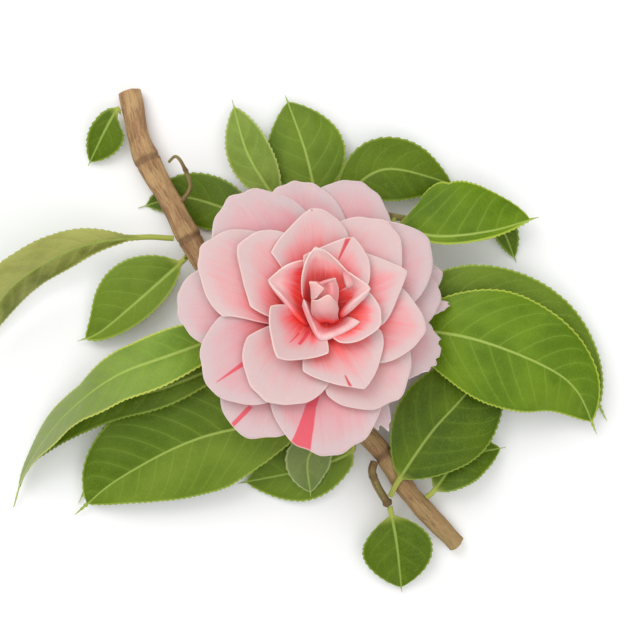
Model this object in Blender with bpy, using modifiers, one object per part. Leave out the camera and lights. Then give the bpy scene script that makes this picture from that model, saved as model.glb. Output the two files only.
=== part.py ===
"""A cut branch of camellia that lies on level ground, with one large formal double bloom on top.

The brown main stem runs from a flat cut at the back left to a second flat cut at the front right.
Thin twigs leave it under the bloom, and glossy pointed leaves spread from the stem and the twigs.
Every stem, every leaf, the calyx and the bloom is a solid of its own, 0.3 mm clear of what bears it.
"""

import bmesh
import bpy
import numpy as np
from math import cos, pi, radians, sin
from mathutils import Matrix, Vector

MM = 0.001

# Places are millimetres from a point of the ground close under the bloom: X right, Y back, Z up.
GROUND_POINT = (10.73, 7.27)            # that point, from the middle of the part's underside
BLOOM_FOOT = (0.6, 1.3, 24.0)
BLOOM_TILT = radians(13)               # the bloom's axis leans from upright ...
BLOOM_TILT_TOWARDS = radians(45)       # ... towards the back right

SEAT_GAP = 0.3                         # clearance between a piece and what bears it
PETAL_THICKNESS = 0.72
LEAF_THICKNESS = 0.9
PETIOLE_WIDTH = 1.8
UNION_WELD = 0.001                     # corners of the joined bloom this close are made one
NODE_SPREAD = 0.035                    # share of a stem's run over which a node's swelling dies away

BLOOM_AXIS = (sin(BLOOM_TILT) * cos(BLOOM_TILT_TOWARDS),
              sin(BLOOM_TILT) * sin(BLOOM_TILT_TOWARDS), cos(BLOOM_TILT))


def on_bloom_axis(height):
    """The place on the bloom's axis at a height over the bloom's foot."""
    return tuple(height * part + foot
                 for part, foot in zip(BLOOM_AXIS, BLOOM_FOOT))


# Each stem: the stem that bears it and where along it, its route from there, its radius at both
# ends, and its swollen nodes as (share of the run, height of the swelling)
STEMS = {
    "main_stem": dict(
        bearer=None, route=[(-59.3, 75.6, 3.38), (-58.2, 70.6, 4.2), (-56.2, 60.8, 6),
                            (-52.4, 50.8, 8), (-45.0, 37.8, 9.5), (-39.7, 27.6, 9.8),
                            (-31.8, 14.7, 10), (-15.3, -3.5, 10), (3.2, -23.3, 10),
                            (23.1, -42.1, 9.5), (30.3, -53.1, 8.4), (36.0, -60.4, 7),
                            (45.1, -70.3, 4.4), (49.2, -74.7, 2.82)],
        radius=(3.6, 3.0), nodes=[(0.13, 0.45), (0.285, 0.5), (0.79, 0.4)], steps=19),
    "flower_twig": dict(
        bearer=("main_stem", 0.475), route=[(-7.0, -2.2, 13.6), on_bloom_axis(-9.2),
                                            on_bloom_axis(-6.6)],
        radius=(1.5, 1.9), nodes=[(0.5, 0.2)], steps=6),
    "upper_twig": dict(
        bearer=("main_stem", 0.31), route=[(-20.9, 28.9, 9.6), (0.6, 33.5, 9),
                                           (25.4, 34.0, 8.4), (43.6, 31.2, 7)],
        radius=(1.6, 1.0), nodes=[(0.33, 0.3), (0.5, 0.3), (0.78, 0.3), (0.97, 0.4)], steps=14),
    "right_twig": dict(
        bearer=("main_stem", 0.62), route=[(13, -15, 10.8), (24.5, -5.6, 10)],
        radius=(1.6, 1.2), nodes=[(0.9, 0.4)], steps=8),
    "lower_twig": dict(
        bearer=("main_stem", 0.775), route=[(21.0, -50.0, 12.6), (22.8, -55.0, 10.6),
                                            (26.6, -61.2, 9)],
        radius=(1.3, 1.3), nodes=[(0.3, 0.2), (0.94, 0.6)], steps=8),
    "dry_twig": dict(
        bearer=("main_stem", 0.235), route=[(-38.6, 43.8, 12.6), (-41.0, 50.6, 13.4),
                                            (-43.4, 53.4, 12.8), (-45.8, 51.6, 11.8)],
        radius=(0.8, 0.45), nodes=[(0.55, 0.25)], steps=9),
}

# Each leaf: the stem that bears it and where along it, the points of its midrib from the blade's
# foot to its tip, the blade's half width left and right of the midrib, its roll in degrees at even
# shares from seat to tip, and how far its halves fold up. Middle, if given, moves its widest part,
# and trim scales its left and right halves at even shares from seat to tip.
LEAVES = {
    "leaf_far_left": dict(
        bearer=("main_stem", 0.285), midrib=[(-55.8, 26.8, 12), (-74.6, 23.5, 15.5),
                                             (-94.6, 12.2, 15), (-108.2, -3.2, 9.4),
                                             (-121.06, -15.5, 2)],
        width=(8.4, 12.0), roll=(30, 55, 55), fold=4, middle=1.2),
    "leaf_left": dict(
        bearer=("main_stem", 0.305), midrib=[(-42.2, 18.6, 8.6), (-58.0, 4.6, 8),
                                             (-69.4, -4.4, 5), (-77.0, -7.3, 2.2)],
        width=(6.0, 13.6), roll=(0, 0), fold=6, middle=0.86),
    "leaf_drooping": dict(
        bearer=("flower_twig", 0.3), midrib=[(-20.4, -3.4, 20), (-44.4, -11.5, 24),
                                             (-63.2, -18.9, 22), (-80.3, -32.2, 15),
                                             (-93.3, -49.1, 7), (-98.5, -62.6, 1.5)],
        width=(10, 12.6), roll=(0, 0, -20, -52, -62, -68), fold=6,
        trim=((1, 1), (1, 1, 0.66, 0.62, 0.95, 1))),
    "leaf_folded": dict(
        bearer=("main_stem", 0.48), midrib=[(-22.0, -11.6, 14), (-44.5, -21.6, 18.5),
                                            (-65.5, -27.7, 16), (-82.0, -37.8, 9),
                                            (-93.7, -50.2, 2.6)],
        width=(6, 6), roll=(0, 0), fold=4),
    "leaf_lower_left": dict(
        bearer=("main_stem", 0.61), midrib=[(-1.0, -31.3, 12), (-35.3, -38.8, 13),
                                            (-62.0, -52.3, 9), (-77.8, -65.2, 2.4)],
        width=(16.5, 18.5), roll=(0, 4), fold=7,
        trim=((1, 1, 1.12, 1.08, 1, 1), (1, 1, 1, 1.08, 1.42, 1.8))),
    "leaf_under_left": dict(
        bearer=("main_stem", 0.55), midrib=[(-8.6, -22.0, 7), (-42.0, -36.0, 7.4),
                                            (-62.0, -46.0, 5), (-72.5, -54.5, 2.4),
                                            (-76.8, -61.4, 1.0)],
        width=(10, 15), roll=(0, 0), fold=3, middle=1.25),
    "leaf_small": dict(
        bearer=("main_stem", 0.675), midrib=[(6.0, -38.0, 8.4), (0.0, -46.0, 9.4),
                                             (0.9, -58.8, 6)],
        width=(7.5, 7.5), roll=(12, 10), fold=8),
    "leaf_under_bloom": dict(
        bearer=("main_stem", 0.71), midrib=[(14.0, -44.0, 6), (0.6, -49.5, 5),
                                            (-23.3, -54.7, 2)],
        width=(10, 10), roll=(4, 4), fold=4),
    "leaf_right": dict(
        bearer=("right_twig", 1), midrib=[(30.6, -3.2, 12.5), (52.3, -6.0, 20), (75.1, -14.4, 19),
                                          (87.7, -23.1, 13.5), (96.1, -38.3, 3)],
        width=(15.8, 18.5), roll=(0, 0), fold=4,
        trim=((1, 1.13, 1.17, 1.1, 1, 0.9), (1, 1))),
    "leaf_behind_right": dict(
        bearer=("right_twig", 0.55), midrib=[(27.6, 2.6, 9.6), (52.0, 5.0, 12.6),
                                             (75.4, -3.6, 11.2), (90.4, -17.8, 6.6),
                                             (99.7, -33.9, 1.2)],
        width=(14.5, 14), roll=(0, 0), fold=4),
    "leaf_lower_right": dict(
        bearer=("lower_twig", 0.93), midrib=[(30.1, -52.0, 13), (40.2, -37.1, 14.5),
                                             (50.0, -26.5, 12), (66.0, -9.0, 6)],
        width=(15, 17), roll=(0, 0), fold=9),
    "leaf_beside_stem": dict(
        bearer=("main_stem", 0.90), midrib=[(41.6, -56.3, 9), (50.7, -45.8, 9.5),
                                            (65.6, -42.3, 5)],
        width=(7, 8.5), roll=(10, 10), fold=6),
    "leaf_behind_stem": dict(
        bearer=("upper_twig", 0.30), midrib=[(-17.3, 32.4, 6), (-28.5, 37.2, 3.4),
                                             (-42.7, 40.8, 1.6), (-56.9, 37.2, 0.6)],
        width=(8.6, 9), roll=(0, 0), fold=3),
    "leaf_top_narrow": dict(
        bearer=("upper_twig", 0.36), midrib=[(-10.0, 38.4, 11), (-19.8, 54.2, 11.4),
                                             (-25.4, 73.0, 4)],
        width=(7, 8), roll=(10, 20), fold=5),
    "leaf_top": dict(
        bearer=("upper_twig", 0.50), midrib=[(2.8, 39.4, 8), (-1.0, 55.7, 7.4),
                                             (-7.7, 74.6, 3)],
        width=(13, 13), roll=(0, 0), fold=4),
    "leaf_top_behind": dict(
        bearer=("upper_twig", 0.62), midrib=[(11.6, 39.6, 9), (25.6, 49.5, 9.5),
                                             (50.4, 44.4, 4)],
        width=(10.5, 10.5), roll=(0, 0), fold=4),
    "leaf_top_right": dict(
        bearer=("upper_twig", 0.78), midrib=[(29.2, 30.4, 12.3), (42.6, 27.2, 15),
                                             (60.0, 29.0, 14.5), (76.2, 33.8, 8)],
        width=(17, 2.6), roll=(0, 6), fold=5,
        trim=((1.6, 1.42, 1.05, 1.06, 1.15, 1.3), (1, 1))),
    "leaf_dark_tip": dict(
        bearer=("upper_twig", 1), midrib=[(53.6, 31.6, 6.6), (63.4, 30.6, 5.6),
                                          (69.4, 19.1, 1.2)],
        width=(5, 3.5), roll=(0, 0), fold=5),
    "leaf_bottom": dict(
        bearer=("lower_twig", 1), midrib=[(27.5, -64.6, 9), (29.3, -74.5, 8),
                                          (31.2, -90.9, 2)],
        width=(11.5, 11.5), roll=(0, 0), fold=6),
    "leaf_stem_top": dict(
        bearer=("main_stem", 0.05), midrib=[(-63.4, 69.3, 6.4), (-67.3, 62.7, 6),
                                            (-73.5, 51.2, 1.4)],
        width=(7, 4.6), roll=(0, 0), fold=5),
}

STALK_SHARE = 1 / 9                    # share of a leaf's rows of faces that its stalk takes
BLADE_MIDDLE = 0.92                    # below 1, the blade is widest before the middle
DRIP_TIP = 0.93                        # share of the blade that the drawn-out tip leaves
TIP_WIDTH = 0.05                       # the drawn-out tip's width, as a share of the blade's
BLADE_ARCH = 0.010                     # how fast the blade's halves turn down again, per millimetre

# Each petal, from the bud out: azimuth in degrees, reach of the tip from the axis, height of the
# tip over the bloom's foot, full width, how pointed it is from 0, round, to 1, or that for its
# counterclockwise and its clockwise side, how far the tip leans counterclockwise, and how many
# degrees it curls in beyond its neighbours.
PETALS = [
    (95, 5.4, 29.4, 10, 0.5, 0, 0), (175, 4.3, 29.0, 11, 0.8, -1, 0), (20, 4.2, 28.8, 12, 0.3, 1, 0),
    (280, 2.4, 28.2, 14, 0.5, 0, 24),
    (77, 15.6, 26.8, 24, 0.9, 6, 0), (9, 15.5, 26.2, 20, 1.0, 2, 0), (277, 12.8, 25.0, 24, 0.9, -3, -8),
    (172, 17.4, 23.2, 25, 1.0, -5, 0), (345, 20.0, 22.2, 20, 0.3, 0, 0), (62, 23.4, 21.8, 24, 0.3, 0, 0),
    (231, 21.9, 21.2, 24.5, 1.0, 0, 0),
    (22, 30.2, 19.4, 26, 0.8, 0, 0), (300, 29.5, 18.8, 28.5, (0.45, 0.9), 0, 0),
    (90, 31.2, 18.4, 23, 0.6, 2.5, 0), (145, 31.4, 17.2, 27, (0.5, 0.3), 1, 0),
    (348, 35.2, 16.6, 28, 0.3, 0, 0), (48, 36.2, 15.8, 28, 0.2, 0, 0),
    (241, 33.9, 15.0, 29.5, 0.15, 0, 0), (146, 41.4, 13.4, 26.5, (0.4, 0.3), 3, 0),
    (312, 38.6, 12.8, 32, 0.2, 0, 0), (32, 43.8, 12.0, 30, 0.2, 0, 0), (215, 42.2, 11.4, 33, 0.1, 0, 0),
    (127, 44.8, 10.6, 34, 0.1, 0, 0), (98, 42.4, 9.8, 29, 0.1, 0, 0), (277, 46.4, 9.0, 36, 0.1, 0, 0),
    (69, 45.4, 8.2, 31, 0.1, 0, 0), (177, 43.8, 7.4, 30, 0.1, 0, 0), (10, 42.4, 6.8, 27, 0.2, 0, 0),
    (339, 43.6, 6.2, 29, 0.2, 0, 0), (239, 45.5, 5.6, 31, 0.1, 0, 0), (18, 45.2, 4.6, 20, 0.3, 0, 0),
    (4, 46.0, 3.8, 13, 0.9, 0, 0), (303, 44.4, 3.2, 15, 0.4, 0, 0),
]
PETAL_CAP = 0.44                       # share of a petal's length taken by its rounded end
PETAL_FOOT_WIDTH = 4.4
PETAL_RISE = 0.45                      # how far the foot's and the tip's directions carry along
PETAL_ARCH = 0.40                      # the petal, as shares of its chord
LEAST_BEND = 0.002                     # a petal's cup across its width, per millimetre
NARROWEST_WRAP = 3.5                   # radius of the tightest wrap round the axis
# How petals stand, by the height of their tips: pitch at the foot and at the tip, in degrees
PETAL_HEIGHTS = (3, 8, 14, 18, 22, 26.5, 30)
FOOT_PITCH = (12, 28, 42, 52, 64, 75, 86)
TIP_PITCH = (-14, -6, 5, 14, 28, 52, 100)
BUD_HEIGHT = 30.0

BUD_CORE = [(0, 27.4), (2.4, 26.6), (3.7, 24.0), (4.1, 19.0), (4.0, 9.0), (5.2, 4.0), (5.9, 0.6), (0, 0)]
CALYX = [(0, -0.3), (6.6, -0.3), (7.4, -1.4), (6.6, -3.4), (4.4, -5.2), (2.4, -6.2), (0, -6.3)]

COLOURS = {
    "bark": ((0.33, 0.21, 0.11, 1), 0.75),
    "twig_bark": ((0.26, 0.15, 0.08, 1), 0.75),
    "leaf": ((0.10, 0.26, 0.02, 1), 0.35),
    "calyx": ((0.30, 0.33, 0.10, 1), 0.55),
    "petal": ((0.85, 0.50, 0.50, 1), 0.55),
}


# ---------------------------------------------------------------- curves

def smooth_path(points, count):
    """Evenly spaced points on one smooth curve that passes through all the given ones."""
    knots = np.array(points, float)
    padded = np.vstack([2 * knots[0] - knots[1], knots, 2 * knots[-1] - knots[-2]])
    share = np.linspace(0, 1, 16, endpoint=False)[:, None]
    spans = []
    for before, start, end, after in zip(padded, padded[1:], padded[2:], padded[3:]):
        spans.append(0.5 * (2 * start + (end - before) * share
                            + (2 * before - 5 * start + 4 * end - after) * share ** 2
                            + (3 * start - 3 * end + after - before) * share ** 3))
    curve = np.vstack(spans + [knots[-1:]])
    run = run_along(curve)
    wanted = np.linspace(0, run[-1], count)
    return np.column_stack([np.interp(wanted, run, curve[:, axis]) for axis in range(3)])


def run_along(curve):
    """Distance of each point of a polyline from its start, measured along it."""
    steps = np.linalg.norm(np.diff(curve, axis=0), axis=1)
    return np.concatenate([[0], np.cumsum(steps)])


def unit(vectors):
    return vectors / np.linalg.norm(vectors, axis=-1, keepdims=True)


# ---------------------------------------------------------------- scene helpers

def clear_scene():
    for item in list(bpy.data.objects):
        bpy.data.objects.remove(item, do_unlink=True)


def new_collection(name):
    collection = bpy.data.collections.new(name)
    bpy.context.scene.collection.children.link(collection)
    return collection


def material(name):
    """A plain finish in the piece's own colour."""
    finish = bpy.data.materials.get(name)
    if finish is None:
        finish = bpy.data.materials.new(name)
        finish.use_nodes = True
        shader = finish.node_tree.nodes["Principled BSDF"]
        colour, roughness = COLOURS[name]
        shader.inputs["Base Color"].default_value = colour
        shader.inputs["Roughness"].default_value = roughness
        shader.inputs["Metallic"].default_value = 0.0
    return finish


def add_object(name, data, collection, finish):
    item = bpy.data.objects.new(name, data)
    item.data.materials.append(material(finish))
    collection.objects.link(item)
    return item


def frozen_mesh(item):
    """The object's evaluated mesh, with its modifiers applied."""
    graph = bpy.context.evaluated_depsgraph_get()
    return bpy.data.meshes.new_from_object(item.evaluated_get(graph))


# ---------------------------------------------------------------- stems and twigs

def stem_line(name):
    """Points along a stem's axis and its radius at each of them."""
    stem = STEMS[name]
    route = stem["route"]
    if stem["bearer"]:
        route = [seat_on(*stem["bearer"], route[0], stem["radius"][0]), *route]
    line = smooth_path(route, stem["steps"] + 1)
    share = np.linspace(0, 1, stem["steps"] + 1)
    radius = np.interp(share, (0, 1), stem["radius"])
    for place, height in stem["nodes"]:
        radius += height * np.exp(-((share - place) / NODE_SPREAD) ** 2)
    return line, radius


def seat_on(name, share, towards, half_width):
    """The point just clear of a stem's bark from which a stalk leaves it for another point."""
    line, radius = stem_line(name)
    shares = np.linspace(0, 1, len(line))
    centre = np.array([np.interp(share, shares, column) for column in line.T])
    axis = unit(np.array([np.interp(share, shares, column)
                          for column in np.gradient(line, axis=0).T]))
    heading = unit(np.array(towards) - centre)
    along = abs(heading @ axis)
    across = np.linalg.norm(np.cross(heading, axis))
    if share == 1:                                          # the stalk carries on from its end
        return centre + axis * (SEAT_GAP + half_width * across)
    clear = np.interp(share, shares, radius) + SEAT_GAP + half_width * along
    return centre + heading * clear / across


def stem_object(name, collection):
    """A tapering limb with flat ends and a swelling at every node."""
    line, radius = stem_line(name)
    curve = bpy.data.curves.new(name, "CURVE")
    curve.dimensions = "3D"
    curve.bevel_depth = MM
    curve.bevel_resolution = 3 if name == "main_stem" else 2
    curve.use_fill_caps = True
    spline = curve.splines.new("POLY")
    spline.points.add(len(line) - 1)
    for point, place, thickness in zip(spline.points, line, radius):
        point.co = (*(place * MM), 1)
        point.radius = thickness
    finish = "bark" if name == "main_stem" else "twig_bark"
    return add_object(name, curve, collection, finish)


# ---------------------------------------------------------------- leaves

def leaf_half_width(distance, petiole, length, width, middle):
    """Half the leaf's width at a distance from its seat: a stalk, then a pointed oval blade."""
    share = np.clip((distance - petiole) / (length - petiole), 0, 1)
    oval = np.sin(pi * np.clip(share / DRIP_TIP, 0, 1) ** middle) ** 0.8
    tip = TIP_WIDTH * (1 - share) ** 0.5
    stalk = PETIOLE_WIDTH / 2 * (1 - share) ** 0.5
    return np.maximum(width * np.maximum(oval, tip), stalk * (share < 0.5))


def leaf_points(leaf, across, along):
    """Places on a leaf: across runs from -1 to 1 between its margins, along from seat to tip."""
    seat = seat_on(*leaf["bearer"], leaf["midrib"][0], PETIOLE_WIDTH / 2)
    line = smooth_path([seat, *leaf["midrib"]], 41)
    run = run_along(line)
    petiole = np.linalg.norm(np.array(leaf["midrib"][0]) - seat)
    distance = np.interp(along, (0, STALK_SHARE, 1), (0, petiole, run[-1]))
    middle = np.column_stack([np.interp(distance, run, line[:, axis]) for axis in range(3)])
    heading = unit(np.column_stack([np.interp(distance, run, column)
                                    for column in np.gradient(line, axis=0).T]))
    level = unit(np.cross(heading, (0, 0, 1)))
    upright = np.cross(level, heading)
    roll_places = np.linspace(0, 1, len(leaf["roll"]))
    roll = np.radians(np.interp(along, roll_places, leaf["roll"]))[:, None]
    side = level * np.cos(roll) + upright * np.sin(roll)
    face = upright * np.cos(roll) - level * np.sin(roll)
    width = np.where(across < 0, *leaf["width"])
    half = leaf_half_width(distance, petiole, run[-1], width, leaf.get("middle", BLADE_MIDDLE))
    trims = [np.interp(distance / run[-1], np.linspace(0, 1, len(trim)), trim)
             for trim in leaf.get("trim", ((1, 1), (1, 1)))]
    half = half * np.where(across < 0, *trims)
    fold = radians(leaf["fold"])
    lateral = (across * half * cos(fold))[:, None]
    lift = (np.abs(across) * half * sin(fold) - across ** 2 * half ** 2 * BLADE_ARCH)[:, None]
    return middle + side * lateral + face * lift


# ---------------------------------------------------------------- petals

def petal_points(petal, across, along):
    """Places on a petal in the bloom's own frame: across from -1 to 1, along from foot to tip."""
    azimuth, reach, height, width, pointed, lean, curl = petal
    foot = np.array([2.0 + 3.5 * (1 - height / BUD_HEIGHT), 7.0 * height / BUD_HEIGHT])
    tip = np.array([reach, height])
    foot_pitch = radians(np.interp(height, PETAL_HEIGHTS, FOOT_PITCH))
    tip_pitch = radians(np.interp(height, PETAL_HEIGHTS, TIP_PITCH) + curl)
    chord = np.linalg.norm(tip - foot)
    rising = foot + PETAL_RISE * chord * np.array([cos(foot_pitch), sin(foot_pitch)])
    arching = tip - PETAL_ARCH * chord * np.array([cos(tip_pitch), sin(tip_pitch)])
    share = np.linspace(0, 1, 41)[:, None]
    line = ((1 - share) ** 3 * foot + 3 * (1 - share) ** 2 * share * rising
            + 3 * (1 - share) * share ** 2 * arching + share ** 3 * tip)
    run = run_along(line)
    slope = np.arctan2(*np.gradient(line, axis=0).T[::-1])

    round_end = 1 - np.sqrt(1 - across ** 2)
    straight_end = np.abs(across) ** 1.15
    pointed = np.where(across > 0, *np.broadcast_to(pointed, 2))
    cap = PETAL_CAP * ((1 - pointed) * round_end + pointed * straight_end)
    distance = run[-1] * (along - cap * along ** 2)
    half = PETAL_FOOT_WIDTH / 2 + (width - PETAL_FOOT_WIDTH) / 2 * np.sin(pi / 2 * along ** 0.9)
    sideways = across * half + lean * along ** 2

    radius = np.interp(distance, run, line[:, 0])
    level = np.interp(distance, run, line[:, 1])
    pitch = np.interp(distance, run, slope)
    bend = np.sin(pitch) / np.maximum(radius, NARROWEST_WRAP) + LEAST_BEND
    lateral = np.sin(bend * sideways) / bend
    lift = (1 - np.cos(bend * sideways)) / bend
    outward = radius - lift * np.sin(pitch)
    upward = level + lift * np.cos(pitch)
    turn = radians(azimuth)
    return np.column_stack([outward * cos(turn) - lateral * sin(turn),
                            outward * sin(turn) + lateral * cos(turn), upward])


# ---------------------------------------------------------------- solids

def sheet_object(name, surface, columns, rows, thickness, collection, finish):
    """A grid laid on surface(across, along) and thickened evenly to both sides."""
    sheet = bmesh.new()
    bmesh.ops.create_grid(sheet, x_segments=columns, y_segments=rows, size=1)
    flat = np.array([vertex.co for vertex in sheet.verts])
    across = np.sin(pi / 2 * flat[:, 0])
    along = (flat[:, 1] + 1) / 2
    for vertex, place in zip(sheet.verts, surface(across, along)):
        vertex.co = place * MM
    mesh = bpy.data.meshes.new(name)
    sheet.to_mesh(mesh)
    sheet.free()
    mesh.shade_smooth()
    item = add_object(name, mesh, collection, finish)
    solid = item.modifiers.new("thickness", "SOLIDIFY")
    solid.thickness = thickness * MM
    solid.offset = 0
    return item


def turned_object(name, profile, collection, finish, sides=12):
    """A solid turned about the bloom's axis from (radius, height) pairs, top to bottom."""
    mesh = bpy.data.meshes.new(name)
    edges = [(i, i + 1) for i in range(len(profile) - 1)]
    mesh.from_pydata([(radius * MM, 0, height * MM) for radius, height in profile], edges, [])
    item = add_object(name, mesh, collection, finish)
    screw = item.modifiers.new("turn", "SCREW")
    screw.steps = sides
    screw.render_steps = sides
    screw.use_merge_vertices = True
    screw.merge_threshold = 1e-5
    return item


def bloom_placement():
    """Turns the bloom's own frame, with its axis up, to where the bloom faces on the branch."""
    lean_axis = Vector((-sin(BLOOM_TILT_TOWARDS), cos(BLOOM_TILT_TOWARDS), 0))
    lift = Matrix.Translation(Vector(BLOOM_FOOT) * MM)
    return lift @ Matrix.Rotation(BLOOM_TILT, 4, lean_axis)


def one_body(mesh):
    """Keep the skin of the largest body: sealed hollows are filled and loose scraps dropped."""
    solid = bmesh.new()
    solid.from_mesh(mesh)
    bmesh.ops.remove_doubles(solid, verts=solid.verts, dist=UNION_WELD * MM)
    bmesh.ops.dissolve_degenerate(solid, edges=solid.edges, dist=UNION_WELD * MM)
    bodies = []
    unseen = set(solid.verts)
    while unseen:
        reached = [unseen.pop()]
        body = []
        while reached:
            vertex = reached.pop()
            body.append(vertex)
            beside = {edge.other_vert(vertex) for edge in vertex.link_edges} & unseen
            unseen -= beside
            reached += beside
        bodies.append(body)
    bodies.sort(key=len)
    for scrap in bodies[:-1]:
        bmesh.ops.delete(solid, geom=scrap, context="VERTS")
    while needless := [vertex for vertex in solid.verts if len(vertex.link_edges) == 2]:
        bmesh.ops.dissolve_verts(solid, verts=needless)
    bmesh.ops.triangulate(solid, faces=solid.faces, ngon_method="BEAUTY")
    solid.to_mesh(mesh)
    solid.free()


def bloom_object(collection):
    """All petals and the core that they grow from and close round, joined into one solid."""
    petals = new_collection("petals_to_join")
    for index, petal in enumerate(PETALS):
        def surface(across, along, petal=petal):
            return petal_points(petal, across, along)
        sheet_object(f"petal_{index}", surface, 6, 5, PETAL_THICKNESS, petals, "petal")
    bloom = turned_object("bud_core", BUD_CORE, collection, "petal")
    union = bloom.modifiers.new("join", "BOOLEAN")
    union.operation = "UNION"
    union.operand_type = "COLLECTION"
    union.collection = petals
    union.solver = "EXACT"
    mesh = frozen_mesh(bloom)
    for item in [bloom, *petals.objects]:
        bpy.data.objects.remove(item, do_unlink=True)
    bpy.data.collections.remove(petals)
    one_body(mesh)
    mesh.transform(bloom_placement())
    mesh.materials.clear()
    return add_object("bloom", mesh, collection, "petal")


def build():
    clear_scene()
    branch = new_collection("camellia_branch")
    root = bpy.data.objects.new("branch_placement", None)
    branch.objects.link(root)
    root.location = (GROUND_POINT[0] * MM, GROUND_POINT[1] * MM, 0)

    pieces = [stem_object(name, branch) for name in STEMS]
    for name, leaf in LEAVES.items():
        def surface(across, along, leaf=leaf):
            return leaf_points(leaf, across, along)
        pieces.append(sheet_object(name, surface, 4, 9, LEAF_THICKNESS, branch, "leaf"))
    calyx = turned_object("calyx", CALYX, branch, "calyx")
    calyx.matrix_world = bloom_placement()
    pieces += [calyx, bloom_object(branch)]
    for piece in pieces:
        piece.parent = root


build()
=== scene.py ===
"""The finished looks of a cut camellia branch that lies on a pale table under soft light.

One large formal double bloom faces up from the middle of the branch. Every petal, leaf and stem
is a closed skin of its own in millimetres, laid over the place that its solid holds in the frame,
and is coloured by patterns that follow its own veins, margins or bark.
"""

import bpy
import numpy as np
from math import cos, pi, radians, sin, sqrt
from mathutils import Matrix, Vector


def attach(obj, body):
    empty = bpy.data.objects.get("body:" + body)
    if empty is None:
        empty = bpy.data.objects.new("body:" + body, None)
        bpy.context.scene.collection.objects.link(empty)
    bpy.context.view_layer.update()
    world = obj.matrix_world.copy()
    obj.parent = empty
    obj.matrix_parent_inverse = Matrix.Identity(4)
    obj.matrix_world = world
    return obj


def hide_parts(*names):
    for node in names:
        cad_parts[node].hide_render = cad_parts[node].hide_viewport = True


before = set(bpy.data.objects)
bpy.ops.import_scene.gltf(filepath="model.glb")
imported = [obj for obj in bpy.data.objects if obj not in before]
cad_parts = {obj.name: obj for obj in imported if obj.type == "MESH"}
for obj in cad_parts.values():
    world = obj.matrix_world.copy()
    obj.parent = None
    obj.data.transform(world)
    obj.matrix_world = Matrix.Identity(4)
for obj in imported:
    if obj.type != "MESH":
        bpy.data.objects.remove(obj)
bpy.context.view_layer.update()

MM = 0.001

# Places are millimetres from a point of the ground close under the bloom: X right, Y back, Z up.
GROUND_POINT = np.array([10.73, 7.27, 0])
BLOOM_FOOT = np.array([0.6, 1.3, 24.0])
BLOOM_TILT = radians(13)  # the bloom's axis leans from upright ...
BLOOM_TILT_TOWARDS = radians(45)  # ... towards the back right
BLOOM_AXIS = np.array([sin(BLOOM_TILT) * cos(BLOOM_TILT_TOWARDS),
                       sin(BLOOM_TILT) * sin(BLOOM_TILT_TOWARDS), cos(BLOOM_TILT)])


def on_bloom_axis(height):
    return tuple(BLOOM_FOOT + height * BLOOM_AXIS)


def srgb(red, green, blue):
    """A shader colour from a display colour in steps of 255."""
    display = np.array([red, green, blue]) / 255
    linear = np.where(display < 0.04045, display / 12.92, ((display + 0.055) / 1.055) ** 2.4)
    return (*linear, 1)


# Each stem: the stem that bears it and where along it, its route from there, its radius at both
# ends, and its nodes as (share of the run, height of the swelling)
STEMS = {
    "main_stem": dict(
        bearer=None, radius=(3.6, 3.0), nodes=[(0.13, 0.45), (0.285, 0.5), (0.79, 0.4)], steps=19,
        route=[(-59.3, 75.6, 3.38), (-58.2, 70.6, 4.2), (-56.2, 60.8, 6), (-52.4, 50.8, 8),
               (-45.0, 37.8, 9.5), (-39.7, 27.6, 9.8), (-31.8, 14.7, 10), (-15.3, -3.5, 10),
               (3.2, -23.3, 10), (23.1, -42.1, 9.5), (30.3, -53.1, 8.4), (36.0, -60.4, 7),
               (45.1, -70.3, 4.4), (49.2, -74.7, 2.82)]),
    "flower_twig": dict(
        bearer=("main_stem", 0.475), radius=(1.5, 1.9), nodes=[(0.5, 0.2)], steps=6,
        route=[(-7.0, -2.2, 13.6), on_bloom_axis(-9.2), on_bloom_axis(-6.6)]),
    "upper_twig": dict(
        bearer=("main_stem", 0.31), radius=(1.6, 1.0),
        nodes=[(0.33, 0.3), (0.5, 0.3), (0.78, 0.3), (0.97, 0.4)], steps=14,
        route=[(-20.9, 28.9, 9.6), (0.6, 33.5, 9), (25.4, 34.0, 8.4), (43.6, 31.2, 7)]),
    "right_twig": dict(
        bearer=("main_stem", 0.62), radius=(1.6, 1.2), nodes=[(0.9, 0.4)], steps=8,
        route=[(13, -15, 10.8), (24.5, -5.6, 10)]),
    "lower_twig": dict(
        bearer=("main_stem", 0.775), radius=(1.3, 1.3), nodes=[(0.3, 0.2), (0.94, 0.6)], steps=8,
        route=[(21.0, -50.0, 12.6), (22.8, -55.0, 10.6), (26.6, -61.2, 9)]),
    "dry_twig": dict(
        bearer=("main_stem", 0.235), radius=(0.8, 0.45), nodes=[(0.55, 0.25)], steps=9,
        route=[(-38.6, 43.8, 12.6), (-41.0, 50.6, 13.4), (-43.4, 53.4, 12.8),
               (-45.8, 51.6, 11.8)]),
}
NODE_SPREAD = 0.035  # share of a stem's run over which a node's swelling dies away
SEAT_GAP = 0.3  # between the bark and the foot of what it bears

BARK_ROWS_PER_MM = 2.2
MAIN_STEM_SIDES = 48
TWIG_SIDES = 24
BARK_LOBES = range(2, 12)  # how many ridges go round, for each of the waves they are summed from
BARK_RIDGES = 0.09  # height of the lengthwise ridges, as a share of the radius
LOBE_DRIFT = (3, 0.02, 0.16)  # waves that carry the ridges round: count, slowest and fastest pace
LOBE_DRIFT_SIZE = 2.5
GIRTH_WAVES = (5, 0.3, 1.4)  # waves in the girth along the stem
SCAR_WIDTH = 0.55  # of the ring left where a scale fell
SCAR_DEPTH = 0.075  # as a share of the radius
SCAR_SWAY = 0.6


def grow(bearer, width, fold, green, midrib, **extras):
    return dict(bearer=bearer, width=width, fold=fold, green=green, midrib=midrib, **extras)


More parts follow.
